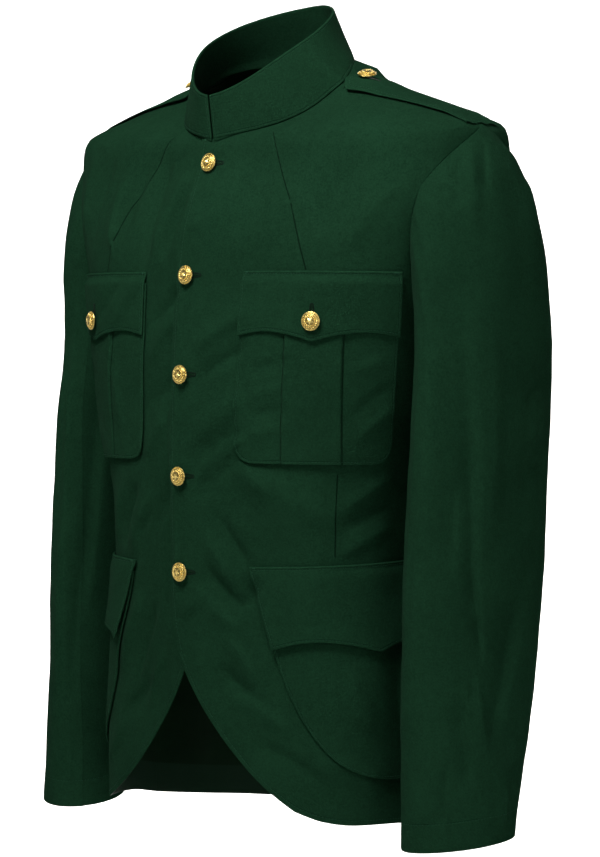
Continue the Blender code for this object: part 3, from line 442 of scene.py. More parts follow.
def build_barathea(tree, shader):
    base = linear(settings().cloth_colour)
    uv = add_node(tree, "ShaderNodeUVMap", uv_map="weave").outputs["UV"]
    place = add_node(tree, "ShaderNodeTexCoord").outputs["Object"]
    edge, row, dart = (
        add_node(tree, "ShaderNodeAttribute", attribute_name=name).outputs["Fac"]
        for name in ("edge", "row", "dart")
    )
    # the real rib is 0.5 mm apart, drawn coarser so that it shows
    turn = 2 * math.pi / settings().twill_spacing
    waves = []
    for direction in ((turn * 0.45, turn * 0.89, 0.0), (turn * 1.3, 0.0, 0.0)):
        phase = add_node(tree, "ShaderNodeVectorMath", ((0, uv), (1, direction)), operation="DOT_PRODUCT")
        wave = add_node(tree, "ShaderNodeMath", ((0, phase.outputs["Value"]),), operation="SINE")
        waves.append(wave.outputs[0])
    weave = add_node(tree, "ShaderNodeMath", ((0, waves[0]), (1, waves[1])), operation="MULTIPLY")
    fuzz, mottle, cloud = (
        add_node(
            tree, "ShaderNodeTexNoise", (("Vector", place), ("Scale", marks), ("Detail", detail))
        ).outputs["Fac"]
        for marks, detail in ((NAP, 2.0), (DYE_SPOTS, 5.0), (DYE_CLOUDS, 3.0))
    )
    shade = add_node(tree, "ShaderNodeMath", ((0, mottle), (1, cloud)), operation="ADD")
    shade = add_node(
        tree, "ShaderNodeMath", ((0, fuzz), (1, 2.5), (2, shade.outputs[0])), operation="MULTIPLY_ADD"
    )
    tone = add_node(
        tree, "ShaderNodeMapRange", ((0, shade.outputs[0]), (1, 1.75), (2, 2.75), (3, 0.0), (4, 1.0))
    )
    colour = add_node(
        tree, "ShaderNodeMix", ((0, tone.outputs[0]), (6, scaled(base, 0.78)), (7, scaled(base, 1.22))),
        data_type="RGBA",
    )
    # painted highlight: a pressed edge is drawn a little lighter, as though it caught the light
    edge_highlight = add_node(
        tree, "ShaderNodeMapRange", ((0, edge), (1, 0.0), (2, EDGE_HIGHLIGHT_WIDTH), (3, EDGE_HIGHLIGHT_GAIN), (4, 1.0))
    )
    # a dart's seam holds a fine line of shadow
    apart = add_node(tree, "ShaderNodeMath", ((0, dart),), operation="ABSOLUTE")
    closed = add_node(
        tree, "ShaderNodeMapRange", ((0, apart.outputs[0]), (1, 0.15), (2, 0.9), (3, DART_SHADE), (4, 1.0))
    )
    gain = add_node(
        tree, "ShaderNodeMath", ((0, edge_highlight.outputs[0]), (1, closed.outputs[0])), operation="MULTIPLY"
    )
    shown = add_node(
        tree, "ShaderNodeVectorMath", ((0, colour.outputs[2]), ("Scale", gain.outputs[0])), operation="SCALE"
    )
    tree.links.new(shown.outputs[0], shader.inputs["Base Color"])
    shader.inputs["Roughness"].default_value = 0.78
    shader.inputs["Specular IOR Level"].default_value = 0.0
    shader.inputs["Sheen Weight"].default_value = 0.02
    shader.inputs["Sheen Roughness"].default_value = 0.4
    shader.inputs["Sheen Tint"].default_value = linear("8FB8A0")
    # the needle draws the cloth down along each row of stitches and each dart
    height = None
    for distance, wide, deep in ((row, 0.9, 0.45), (dart, 0.8, 0.9)):
        off = add_node(tree, "ShaderNodeMath", ((0, distance),), operation="ABSOLUTE")
        valley = add_node(
            tree, "ShaderNodeMapRange", ((0, off.outputs[0]), (1, 0.0), (2, wide), (3, -deep), (4, 0.0)),
            interpolation_type="SMOOTHSTEP",
        ).outputs[0]
        height = valley if height is None else add_node(
            tree, "ShaderNodeMath", ((0, height), (1, valley)), operation="ADD"
        ).outputs[0]
    for source, share in ((weave.outputs[0], 0.08), (fuzz, 0.4), (mottle, 0.15)):
        height = add_node(
            tree, "ShaderNodeMath", ((0, source), (1, share), (2, height)), operation="MULTIPLY_ADD"
        ).outputs[0]
    bump = add_node(tree, "ShaderNodeBump", (("Strength", 0.8), ("Distance", 1.0 * MM), ("Height", height)))
    tree.links.new(bump.outputs[0], shader.inputs["Normal"])


def wool_barathea():
    """Wool barathea, woven in a fine broken rib and pressed: matt, faintly mottled, with a painted highlight
    along its pressed edges.
    """
    return material_named("wool_barathea", build_barathea)


def build_lining_and_slit_shadow(tree, shader):
    place = add_node(tree, "ShaderNodeTexCoord").outputs["Object"]
    cloud = add_node(
        tree, "ShaderNodeTexNoise", (("Vector", place), ("Scale", LINING_CLOUDS), ("Detail", 4.0))
    )
    fine = add_node(
        tree, "ShaderNodeTexNoise", (("Vector", place), ("Scale", LINING_THREADS), ("Detail", 2.0))
    )
    base = linear(settings().lining_colour)
    colour = add_node(
        tree, "ShaderNodeMix", ((0, cloud.outputs["Fac"]), (6, scaled(base, 0.75)), (7, scaled(base, 1.25))),
        data_type="RGBA",
    )
    # the lining stops where the wool is turned up inside
    reach = add_node(tree, "ShaderNodeAttribute", attribute_name="lined").outputs["Fac"]
    over = add_node(tree, "ShaderNodeMapRange", ((0, reach), (1, -0.3), (2, 0.3), (3, 0.0), (4, 1.0)))
    # painted shade: the wool turned up inside is drawn at 0.65 of the cloth's colour, darker than the same
    # wool outside
    wool = scaled(linear(settings().cloth_colour), 0.65)
    shown = add_node(
        tree, "ShaderNodeMix", ((0, over.outputs[0]), (6, wool), (7, colour.outputs[2])), data_type="RGBA"
    )
    tree.links.new(shown.outputs[2], shader.inputs["Base Color"])
    shader.inputs["Roughness"].default_value = 0.5
    shader.inputs["Specular IOR Level"].default_value = 0.06
    bump = add_node(
        tree, "ShaderNodeBump", (("Strength", 0.5), ("Distance", 0.3 * MM), ("Height", fine.outputs["Fac"]))
    )
    tree.links.new(bump.outputs[0], shader.inputs["Normal"])


def viscose_lining_and_slit_shadow():
    """Viscose lining in a fine twill, almost black, felled to the wool that is turned up inside the edges;
    the same material colours the dark sheet of painted shadow in each buttonhole's slit.
    """
    return material_named("viscose_lining_and_slit_shadow", build_lining_and_slit_shadow)


def build_thread(colour_name):
    def build(tree, shader):
        place = add_node(tree, "ShaderNodeTexCoord").outputs["Object"]
        twist = add_node(
            tree, "ShaderNodeTexNoise", (("Vector", place), ("Scale", THREAD_PLIES), ("Detail", 2.0))
        )
        base = linear(getattr(settings(), colour_name))
        colour = add_node(
            tree, "ShaderNodeMix",
            ((0, twist.outputs["Fac"]), (6, scaled(base, 0.7)), (7, scaled(base, 1.3))), data_type="RGBA",
        )
        tree.links.new(colour.outputs[2], shader.inputs["Base Color"])
        shader.inputs["Roughness"].default_value = 0.7
        shader.inputs["Specular IOR Level"].default_value = 0.08

    return build


def sewing_thread():
    """Spun polyester thread, dyed to the cloth: a shade lighter, with a slight gloss along its twist."""
    return material_named("sewing_thread", build_thread("thread_colour"))


def buttonhole_twist():
    """Silk buttonhole twist, a hard three-ply thread: darker than the cloth it binds."""
    return material_named("buttonhole_twist", build_thread("hole_colour"))


def build_gilt(tree, shader):
    place = add_node(tree, "ShaderNodeTexCoord").outputs["Object"]
    grain = add_node(
        tree, "ShaderNodeTexNoise", (("Vector", place), ("Scale", DIE_MARKS), ("Detail", 4.0))
    )
    relief = add_node(tree, "ShaderNodeAttribute", attribute_name="relief").outputs["Fac"]
    colour = add_node(
        tree, "ShaderNodeMix",
        ((0, relief), (6, linear(settings().hollow_colour)), (7, linear(settings().gilt_colour))),
        data_type="RGBA",
    )
    tree.links.new(colour.outputs[2], shader.inputs["Base Color"])
    shader.inputs["Metallic"].default_value = 1.0
    rough = add_node(
        tree, "ShaderNodeMapRange", ((0, grain.outputs["Fac"]), (1, 0.3), (2, 0.7), (3, 0.18), (4, 0.38))
    )
    tree.links.new(rough.outputs[0], shader.inputs["Roughness"])
    bump = add_node(
        tree, "ShaderNodeBump", (("Strength", 0.9), ("Distance", 0.35 * MM), ("Height", grain.outputs["Fac"]))
    )
    tree.links.new(bump.outputs[0], shader.inputs["Normal"])


def stamped_gilt():
    """Gilding metal, die-stamped and bright-dipped: polished where it stands up, browned in the hollows."""
    return material_named("stamped_gilt", build_gilt)


# ---- working on meshes ----
def select_only(thing):
    bpy.ops.object.select_all(action="DESELECT")
    thing.select_set(True)
    bpy.context.view_layer.objects.active = thing


def apply_modifier(thing, kind, **values):
    select_only(thing)
    modifier = thing.modifiers.new(kind.lower(), kind)
    for key, value in values.items():
        setattr(modifier, key, value)
    bpy.ops.object.modifier_apply(modifier=modifier.name)


def read_vectors(collection, name, count=3):
    flat = np.empty(len(collection) * count)
    collection.foreach_get(name, flat)
    return flat.reshape(-1, count)


def points_of(mesh):
    return read_vectors(mesh.vertices, "co")


def normals_of(mesh):
    return read_vectors(mesh.vertex_normals, "vector")


def set_points(mesh, points):
    mesh.vertices.foreach_set("co", points.ravel())
    mesh.update()


def values_of(mesh, *names):
    """What is stored at each point under each of these names."""
    return [read_vectors(mesh.attributes[name].data, "value", 1)[:, 0] for name in names]


def float_attribute(mesh, name, values):
    attribute = mesh.attributes.get(name) or mesh.attributes.new(name, "FLOAT", "POINT")
    attribute.data.foreach_set("value", np.asarray(values, np.float32))


def unit(vectors):
    return vectors / np.linalg.norm(vectors, axis=-1, keepdims=True)


def smooth(share):
    share = np.clip(share, 0, 1)
    return share * share * (3 - 2 * share)


# ---- places on the garment ----
def stem_of(node):
    """A node's name without its side."""
    return node.removesuffix("_left").removesuffix("_right")


def side_of(node):
    return -1 if node.endswith("_right") else 1


def sleeve_centre(points):
    """The left or right sleeve's centre line at each point's height."""
    table = np.array(SLEEVE_LINE)[::-1]
    x = np.interp(points[:, 2], table[:, 0], table[:, 1]) * np.sign(points[:, 0])
    y = np.interp(points[:, 2], table[:, 0], table[:, 2])
    return np.column_stack([x, y, np.minimum(points[:, 2], ARM_LEVEL)])


def outward_of(node, points):
    """The direction from the inside of the garment to each point."""
    if node.startswith("sleeve"):
        centre = sleeve_centre(points)
    elif node == "collar":
        centre = np.column_stack([np.zeros(len(points)), np.full(len(points), NECK_MIDDLE), points[:, 2]])
    else:
        # the body is wider than it is deep, so its middle is a line from side to side
        x, z = points[:, 0], points[:, 2]
        centre = np.column_stack([0.55 * x, np.full(len(x), BODY_MIDDLE), np.clip(z, -1.0, ARM_LEVEL)])
    return unit(points - centre)


def places_on(node, points):
    """Degrees round the body or the arm, and millimetres up."""
    if node.startswith("sleeve"):
        away = points - sleeve_centre(points)
        turn = np.degrees(np.arctan2(away[:, 1], away[:, 0] * np.sign(points[:, 0]))) % 360
    else:
        turn = np.degrees(np.arctan2(points[:, 0], BODY_MIDDLE - points[:, 1]))
    return np.column_stack([turn, points[:, 2] / MM])


def fold_heights(places, folds, degree):
    """How far out the folds of a table push each place, in millimetres."""
    total = np.zeros(len(places))
    for turn, height, last_turn, last_height, width, depth, bow in folds:
        run = np.array(((last_turn - turn) * degree, last_height - height))
        length = np.hypot(*run)
        run /= length
        across = ((places[:, 0] - turn + 180) % 360 - 180) * degree
        up = places[:, 1] - height
        along = (across * run[0] + up * run[1]) / length
        inside = np.clip(along, 0, 1)
        off = across * run[1] - up * run[0] - bow * 4 * inside * (1 - inside)
        wide = width * (1 + FOLD_LEAN * np.tanh(off / width))
        ends = smooth(along / FOLD_ENDS) * smooth((1 - along) / FOLD_ENDS)
        total += depth * ends * np.exp(-np.abs(off / wide) ** FOLD_POINT)
    return total


def swell(points):
    """A slow unevenness, in millimetres, that keeps pressed cloth from looking flat."""
    total = np.zeros(len(points))
    longest = SWELL_WAVES[0][0]
    for length, direction, start in SWELL_WAVES:
        turns = points / MM @ (np.array(direction) * 2 * math.pi / length)
        total += length / longest * np.sin(turns + start)
    return SWELL * total


def solid_tree(*nodes):
    """A search tree over the plain solids of these nodes."""
    work = bmesh.new()
    for node in nodes:
        work.from_mesh(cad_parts[node].data)
    tree = BVHTree.FromBMesh(work)
    work.free()
    return tree


def distance_to(tree, points, reach):
    """Millimetres from each point to the tree, up to reach."""
    found = (tree.find_nearest(point, reach * MM)[3] for point in points.tolist())
    return np.array([reach if far is None else far / MM for far in found])


def hang(node, points):
    """Where points of a piece come to lie once the cloth hangs in its folds."""
    places = places_on(node, points)
    if node.startswith("sleeve"):
        side = "left" if side_of(node) > 0 else "right"
        reach, seam = SLEEVE_CALM, trees["body"]
        heights = fold_heights(places, SLEEVE_FOLDS[side], SLEEVE_DEGREE)
    else:
        reach, seam = BODY_CALM, trees["joined"]
        heights = fold_heights(places, BODY_FOLDS, BODY_DEGREE)
    calm = smooth(distance_to(seam, points, reach) / reach - STILL)
    heights = (heights * settings().fold_strength + swell(points)) * calm
    return points + outward_of(node, points) * (heights * MM)[:, None]


trees = {
    "body": solid_tree("front_left", "front_right", "back"),
    "joined": solid_tree(
        "sleeve_top_left", "sleeve_top_right", "sleeve_under_left", "sleeve_under_right", "collar"
    ),
}


# ---- cutting a piece ----
def is_sewn(node, rim):
    """Whether a piece's edge with this rim face is one that shows its stitches."""
    # how much the rim faces down and away from the middle plane, from -1 to 1
    down, outward = -rim.normal.z, rim.normal.x * side_of(node)
    height = rim.calc_center_median().z
    rules = {
        "front": (down > 0.5 and height < SKIRT_LEVEL) or (outward < -0.5 and height < NECK_POINT),
        "back": down > 0.5,
        "sleeve_top": down > 0.5,
        "sleeve_under": down > 0.5,
        "shoulder_strap": outward < 0.6,
        "chest_pocket": down > -0.6,
        "hip_pocket": down > -0.6,
    }
    return rules.get(stem_of(node), True)


def row_inset(node):
    """Millimetres from a piece's edge to its row of stitches."""
    stem = stem_of(node)
    if stem in ("back", "sleeve_top", "sleeve_under"):
        return settings().hem_depth / MM
    if stem == "front":
        return settings().front_inset / MM
    return STRAP_INSET if stem == "shoulder_strap" else settings().edge_inset / MM


def facing_of(node, centres, normals):
    """How much each of these normals points out of the garment: 1 straight out, -1 straight in."""
    return (outward_of(node, centres) * normals).sum(1)


def points_along(edge):
    """Points every half millimetre along an edge."""
    start, end = (np.array(vertex.co) for vertex in edge.verts)
    steps = max(2, int(np.linalg.norm(end - start) / (0.5 * MM)))
    return [start + (end - start) * share for share in np.linspace(0, 1, steps)]


def keep_crisp(piece):
    """Creases the pressed edges, so that they stay sharp when the cloth between them is smoothed."""
    work = bmesh.new()
    work.from_mesh(piece.data)
    crease = work.edges.layers.float.new("crease_edge")
    for edge in work.edges:
        if len(edge.link_faces) == 2 and edge.calc_face_angle(0.0) > PRESSED_TURN:
            edge[crease] = PRESSED_CREASE
    work.to_mesh(piece.data)
    work.free()


def prepare_edges(piece, node):
    """Draws a plain piece's seams shut and returns points along its stitched edges and its inward folds."""
    work = bmesh.new()
    work.from_mesh(piece.data)
    centres = np.array([face.calc_center_median() for face in work.faces])
    facing = facing_of(node, centres, np.array([face.normal for face in work.faces]))
    kind = {face: (value > OUTER) - (value < -OUTER) for face, value in zip(work.faces, facing.tolist())}
    sewn, folded = [], []
    drawn = {}
    for edge in work.edges:
        if len(edge.link_faces) == 2 and edge.calc_face_angle_signed() < PLEAT_TURN:
            if min(kind[face] for face in edge.link_faces) >= 0 and stem_of(node) == "chest_pocket":
                folded.extend(points_along(edge))
    for rim in work.faces:
        around = [(edge, other) for edge in rim.edges for other in edge.link_faces if other is not rim]
        if kind[rim] or not any(kind[other] < 0 for _, other in around):
            continue
        if not is_sewn(node, rim):
            for vertex in rim.verts:
                drawn[vertex] = drawn.get(vertex, Vector()) + rim.normal
            continue
        for edge, other in around:
            if kind[other] > 0:
                sewn.extend(points_along(edge))
    draw = HEAD_DRAW if stem_of(node) == "sleeve_top" else SEAM_DRAW
    for vertex, way in drawn.items():
        vertex.co += way.normalized() * draw
    work.to_mesh(piece.data)
    work.free()
    return sewn, folded


def lay_flat(piece, node):
    """Unwraps the outer face as its flat cut, in metres, with the grain running up the garment."""
    mesh = piece.data
    mesh.uv_layers.new(name="weave")
    centres, normals = read_vectors(mesh.polygons, "center"), read_vectors(mesh.polygons, "normal")
    outer = facing_of(node, centres, normals) > UNWRAPPED
    select_only(piece)
    bpy.ops.object.mode_set(mode="EDIT")
    bpy.ops.mesh.select_mode(type="FACE")
    bpy.ops.mesh.select_all(action="SELECT")
    bpy.ops.uv.cube_project(cube_size=1.0)
    bpy.ops.mesh.select_all(action="DESELECT")
    bpy.ops.object.mode_set(mode="OBJECT")
    mesh.polygons.foreach_set("select", outer)
    bpy.ops.object.mode_set(mode="EDIT")
    bpy.ops.uv.unwrap(method="ANGLE_BASED", margin=0.0)
    bpy.ops.mesh.select_all(action="DESELECT")
    bpy.ops.object.mode_set(mode="OBJECT")
    places = places_on(node, points_of(mesh))
    degree = BODY_DEGREE
    if node == "back":
        places[:, 0] %= 360
    elif node == "collar":
        degree = COLLAR_DEGREE
    elif node.startswith("sleeve"):
        degree = SLEEVE_DEGREE
        if stem_of(node) == "sleeve_top":
            places[:, 0] = (places[:, 0] + 180) % 360 - 180
        places[:, 0] *= side_of(node)
    loops = np.concatenate([list(face.loop_indices) for face, kept in zip(mesh.polygons, outer) if kept])
    corner = np.array([mesh.loops[i].vertex_index for i in loops])
    layer = mesh.uv_layers["weave"].data
    flat = read_vectors(layer, "uv", 2)
    now = flat[loops] @ (1, 1j)
    target = places[corner] @ (degree * MM, 1j * MM)
    now -= now.mean()
    turn = (np.conj(now) * (target - target.mean())).sum() / (np.abs(now) ** 2).sum()
    now = now * turn
    flat[loops] = np.column_stack([now.real, now.imag])
    layer.foreach_set("uv", flat.ravel())


def off_dart(places, dart):
    """Signed millimetres from each place to a dart on either front."""
    spots = np.column_stack([np.abs(places[:, 0]) * BODY_DEGREE, places[:, 1]])
    line = np.array(dart) * (BODY_DEGREE, 1.0)
    nearest = np.full(len(spots), FAR)
    for start, end in zip(line, line[1:]):
        run = (end - start) / np.linalg.norm(end - start)
        away = spots - start
        along = away @ run
        off = away[:, 0] * run[1] - away[:, 1] * run[0]
        beside = (along >= 0) & (along <= np.linalg.norm(end - start))
        closer = beside & (np.abs(off) < np.abs(nearest))
        nearest[closer] = off[closer]
    return nearest


def cloth_copy(node):
    """A fine copy of a node's wall with its folded edges rounded and its seams known."""
    piece = bpy.data.objects.new(node + "_cloth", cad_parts[node].data.copy())
    bpy.context.scene.collection.objects.link(piece)
    piece.data.materials.clear()
    select_only(piece)
    bpy.ops.mesh.customdata_custom_splitnormals_clear()
    bpy.ops.object.mode_set(mode="EDIT")
    bpy.ops.mesh.select_all(action="SELECT")
    bpy.ops.mesh.remove_doubles(threshold=DOUBLES)
    bpy.ops.mesh.tris_convert_to_quads(face_threshold=FLAT_BEND, shape_threshold=FLAT_SKEW)
    bpy.ops.object.mode_set(mode="OBJECT")
    while piece.data.uv_layers:
        piece.data.uv_layers.remove(piece.data.uv_layers[0])
    lay_flat(piece, node)
    sewn, folded = prepare_edges(piece, node)
    apply_modifier(
        piece, "BEVEL", width=EDGE_ROUND, segments=1, limit_method="ANGLE", angle_limit=EDGE_TURN,
        use_clamp_overlap=False,
    )
    keep_crisp(piece)
    levels = FINENESS.get(stem_of(node), 3)
    apply_modifier(piece, "SUBSURF", levels=levels, render_levels=levels)
    bpy.ops.object.shade_smooth()
    mark_sewing(piece, node, sewn, folded)
    return piece


def nearest_to(lines, points):
    """Millimetres from each point to the nearest of the points along some lines."""
    tree = KDTree(len(lines))
    for i, point in enumerate(lines):
        tree.insert(point, i)
    tree.balance()
    return np.array([tree.find(point)[2] for point in points.tolist()]) / MM


def mark_sewing(piece, node, sewn, folded):
    """Stores how far each point is from the sewn edge, the row of stitches and the dart, in millimetres."""
    mesh = piece.data
    points = points_of(mesh)
    edge = nearest_to(sewn, points)
    dart = nearest_to(folded, points) if folded else np.full(len(points), FAR)
    if stem_of(node) == "front":
        places = places_on(node, points)
        neck, waist = off_dart(places, NECK_DART), off_dart(places, WAIST_DART)
        dart = np.where(np.abs(neck) < np.abs(waist), neck, waist)
    float_attribute(mesh, "edge", edge)
    float_attribute(mesh, "row", edge - row_inset(node))
    float_attribute(mesh, "dart", dart)
    float_attribute(mesh, "facing", facing_of(node, points, normals_of(mesh)))


def line_inside(piece, node):
    """Lines a piece's inner face, and gives the back's lining its ease."""
    mesh = piece.data
    points = points_of(mesh)
    places = places_on(node, points)
    edge, facing = values_of(mesh, "edge", "facing")
    wool = settings().hem_depth / MM + SEAM_TURN
    if stem_of(node) == "front":
        wool = np.interp(np.abs(places[:, 0]), FACING_NARROWS, (FRONT_FACING, wool))
    lined = edge - wool
    if stem_of(node) == "front":
        lined = np.minimum(lined, LINING_LEVEL - places[:, 1])
    float_attribute(mesh, "lined", lined)
    mesh.materials.append(viscose_lining_and_slit_shadow())
    inside = (facing < INNER).astype(int)
    corner = read_vectors(mesh.loops, "vertex_index", 1)[:, 0].astype(int)
    starts = read_vectors(mesh.polygons, "loop_start", 1)[:, 0].astype(int)
    mesh.polygons.foreach_set("material_index", np.minimum.reduceat(inside[corner], starts).astype(np.int32))
    if node == "back":
        ease = LINING_EASE * fold_heights(places, LINING_FOLDS, BODY_DEGREE) * inside
        ease *= smooth((edge - wool) / EASE_START)
        set_points(mesh, points + outward_of(node, points) * (ease * MM)[:, None])


def close_neck(collar):
    """Lets the collar down over the neck seam: its inner layer all round, its outer one behind."""
    points = points_of(collar.data)
    (facing,) = values_of(collar.data, "facing")
    # millimetres: how near the neck seam is, and how far each layer is let down
    reach, inner_drop, outer_drop = 9, 4.5, 3.2
    near = smooth(1 - distance_to(trees["body"], points, reach) / reach)
    inner = smooth((-0.15 - facing) / 0.6)
    behind = smooth((points[:, 1] + 0.01) / 0.05)
    points[:, 2] -= np.maximum(inner_drop * inner, outer_drop * behind) * near * MM
    set_points(collar.data, points)


def sew_down(strap):
    """Presses a strap down on the shoulder, and its outer end out to the armhole seam."""
    # from the middle plane: where the strap starts to lie close, where its end starts, and what each takes
    close_from, end_from, close_over, end_over = 0.115, 0.190, 0.03, 0.036
    # share of the way to the seam or the shoulder that each of them is pressed
    close_share, end_share = 0.4, 0.8
    lengthened = 5.5 * MM
    points = points_of(strap.data)
    away = np.abs(points[:, 0])
    close = smooth((away - close_from) / close_over)
    end = smooth((away - end_from) / end_over)
    points[:, 0] += np.sign(points[:, 0]) * end * lengthened
    for i in np.flatnonzero(close > 0):
        spots = (trees[name].find_nearest(points[i])[0] for name in ("body", "joined"))
        way = min((np.array(spot) - points[i] for spot in spots), key=np.linalg.norm)
        points[i] += way * max(close_share * close[i], end_share * end[i])
    set_points(strap.data, points)


def finish_piece(piece, slot, *nodes):
    """Hands a piece over to the frame: its body, and the plain solids that it stands for, which it hides. The
    slot, its finish, is not used.
    """
    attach(piece, "root")
    if nodes:
        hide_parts(*nodes)


def cut(*stems):
    """Cuts, lines and hangs the cloth of every node with one of these names."""
    for node, width, length, share, held, rests in SHEETS:
        if stem_of(node) not in stems:
            continue
        piece = cloth_copy(node)
        piece.data.materials.append(wool_barathea())
        if stem_of(node) in ("front", "back", "sleeve_top", "sleeve_under"):
            line_inside(piece, node)
        if node == "collar":
            close_neck(piece)
        else:
            set_points(piece.data, hang(node, points_of(piece.data)))
        if stem_of(node) == "shoulder_strap":
            sew_down(piece)
        finish_piece(piece, "cloth", node)


# ---- sewing ----
SHORTEST_ROW = 7  # points in a line that is long enough to be sewn
FEWEST_STITCHES = 3


def taken_out():
    """The points and faces of the primitive that is being shaped, which leaves the scene."""
    thing = bpy.context.object
    pattern = points_of(thing.data), [tuple(face.vertices) for face in thing.data.polygons]
    bpy.data.objects.remove(thing, do_unlink=True)
    return pattern


def bead(length, width, height, segments=6, rings=4):
    """An egg of these sizes, for a stitch, a pearl or a leaf."""
    bpy.ops.object.select_all(action="DESELECT")
    bpy.ops.mesh.primitive_uv_sphere_add(segments=segments, ring_count=rings, radius=0.5)
    bpy.context.object.scale = (length, width, height)
    bpy.ops.object.transform_apply(location=True, rotation=True, scale=True)
    return taken_out()


def copies(pattern, places, ahead, up):
    """Points and faces of a pattern repeated at each place, its x ahead and its z up."""
    points, faces = pattern
    up = unit(up)
    side = unit(np.cross(up, ahead))
    ahead = np.cross(side, up)
    axes = np.stack([ahead, side, up], 1)
    all_points = (places[:, None] + np.einsum("pk,nkc->npc", points, axes)).reshape(-1, 3)
    step = len(points)
    return all_points, [tuple(i + n * step for i in face) for n in range(len(places)) for face in faces]


def piece_from(name, parts, material, slot="cloth"):
    """One object from several lots of points and faces."""
    points, faces, count = [], [], 0
    for some_points, some_faces in parts:
        points.append(some_points)
        faces.extend(tuple(i + count for i in face) for face in some_faces)
        count += len(some_points)
    mesh = bpy.data.meshes.new(name)
    mesh.from_pydata(np.concatenate(points).tolist(), [], faces)
    mesh.shade_smooth()
    mesh.materials.append(material)
    piece = bpy.data.objects.new(name, mesh)
    bpy.context.scene.collection.objects.link(piece)
    finish_piece(piece, slot)
    return piece


def stitch_lines(mesh):
    """The lines on a piece's outer face along its row of stitches, each as points and normals."""
    points, normals = points_of(mesh), normals_of(mesh)
    row, facing = values_of(mesh, "row", "facing")
    mesh.calc_loop_triangles()
    corners = read_vectors(mesh.loop_triangles, "vertices").astype(int)
    corners = corners[(facing[corners] > STITCHED).all(1)]
    beyond = row[corners] > 0
    mixed = beyond.any(1) & ~beyond.all(1)
    links = {}
    for trio, past in zip(corners[mixed].tolist(), beyond[mixed].tolist()):
        ends = [
            (min(trio[i], trio[i - 1]), max(trio[i], trio[i - 1])) for i in range(3) if past[i] != past[i - 1]
        ]
        links.setdefault(ends[0], []).append(ends[1])
        links.setdefault(ends[1], []).append(ends[0])
    lines = []
    while links:
        here = next((key for key in links if len(links[key]) == 1), next(iter(links)))
        chain = [here]
        onward = links.pop(here)
        while True:
            here = next((key for key in onward if key in links), None)
            if here is None:
                break
            chain.append(here)
            onward = links.pop(here)
        if len(chain) >= SHORTEST_ROW:
            near, far = np.array(chain).T
            share = (row[near] / (row[near] - row[far]))[:, None]
            lines.append([field[near] * (1 - share) + field[far] * share for field in (points, normals)])
    return lines


def spaced(line, step):
    """Places at even steps along a line, with the way ahead and the way up."""
    points, normals = line
    run = np.concatenate([[0], np.cumsum(np.linalg.norm(np.diff(points, axis=0), axis=1))])
    at = np.arange(step / 2, run[-1], step)
    if len(at) < FEWEST_STITCHES:
        return None

    def read(where, field):
        return np.column_stack([np.interp(where, run, column) for column in field.T])

    ahead = read(at + step / 2, points) - read(at - step / 2, points)
    return read(at, points), unit(ahead), unit(read(at, normals))


def cloth_tree(node):
    """A search tree over a piece of cloth as it hangs."""
    mesh = bpy.data.objects[node + "_cloth"].data
    return BVHTree.FromPolygons(points_of(mesh).tolist(), [tuple(face.vertices) for face in mesh.polygons])


def laid_on(tree, points):
    """The nearest places on a piece of cloth, and the way up there."""
    found = [tree.find_nearest(point) for point in points.tolist()]
    return np.array([spot[0] for spot in found]), np.array([spot[1] for spot in found])


# ---- buttons ----
# Lengths in this part are shares of the button's radius.
# radius and height along its turned outline, from the shank up
SHANK = 0.206
BUTTON_BACK_AND_RIM = (
    (SHANK, 0.183), (0.80, 0.205), (0.97, 0.250), (1.00, 0.335),
    (0.975, 0.385), (0.930, 0.400), (0.885, 0.385),
)
BUTTON_FACE = (
    (0.850, 0.395), (0.790, 0.450), (0.700, 0.520), (0.600, 0.580),
    (0.480, 0.635), (0.340, 0.680), (0.180, 0.708), (0.060, 0.714),
)
# the design: length, width and height of a pearl and of a leaf
PEARL, LEAF = (0.085, 0.085, 0.11), (0.30, 0.13, 0.17)
PEARL_RING = 0.845
# how far out a ring of leaves is, the degrees that they lean outward and the degrees at its first leaf
LEAF_RINGS = ((0.71, 38, 0), (0.54, -38, 10))
PEARL_STEP, LEAF_STEP = 9, 20  # degrees from one to the next
# the star's reach, how high its middle stands above its points, and how high those are
STAR_REACH, STAR_RISE, STAR_SEAT = 0.42, 0.13, 0.69
NOTCH = 0.5  # how far out the corners between its arms are, as a share of its reach
RIM_START, RIM_FOOT = 0.88, 0.3  # what is farther out or lower than these is the rim or the back
BRIGHT, TONED = 0.9, 0.4  # how bright those and the ground of the face are, where the design is 1
STRAP_TIP = (0.0, -0.18, 0.0)  # the slope of the shoulder tips a strap's button forward
BUTTON_SMOOTH = math.radians(35)  # edges that turn more than this stay sharp


def dome_height(radius):
    """Height of the button's face at a distance from its middle, as shares of its radius."""
    table = np.array(BUTTON_FACE)[::-1]
    return np.interp(radius, table[:, 0], table[:, 1])


def turned_button(radius):
    """The plain button: a shank drawn out step by step into a rim and a dome."""
    bpy.ops.object.select_all(action="DESELECT")
    bpy.ops.mesh.primitive_circle_add(vertices=40, radius=SHANK * radius, fill_type="NGON")
    bpy.ops.object.mode_set(mode="EDIT")
    bpy.ops.mesh.select_mode(type="FACE")
    bpy.ops.mesh.select_all(action="SELECT")
    now, level = SHANK, 0.0
    for wide, high in BUTTON_BACK_AND_RIM + BUTTON_FACE:
        bpy.ops.mesh.extrude_region_move(TRANSFORM_OT_translate={"value": (0, 0, (high - level) * radius)})
        bpy.ops.transform.resize(value=(wide / now, wide / now, 1.0))
        now, level = wide, high
    bpy.ops.mesh.select_all(action="SELECT")
    bpy.ops.mesh.normals_make_consistent(inside=False)
    bpy.ops.object.mode_set(mode="OBJECT")
    return taken_out()


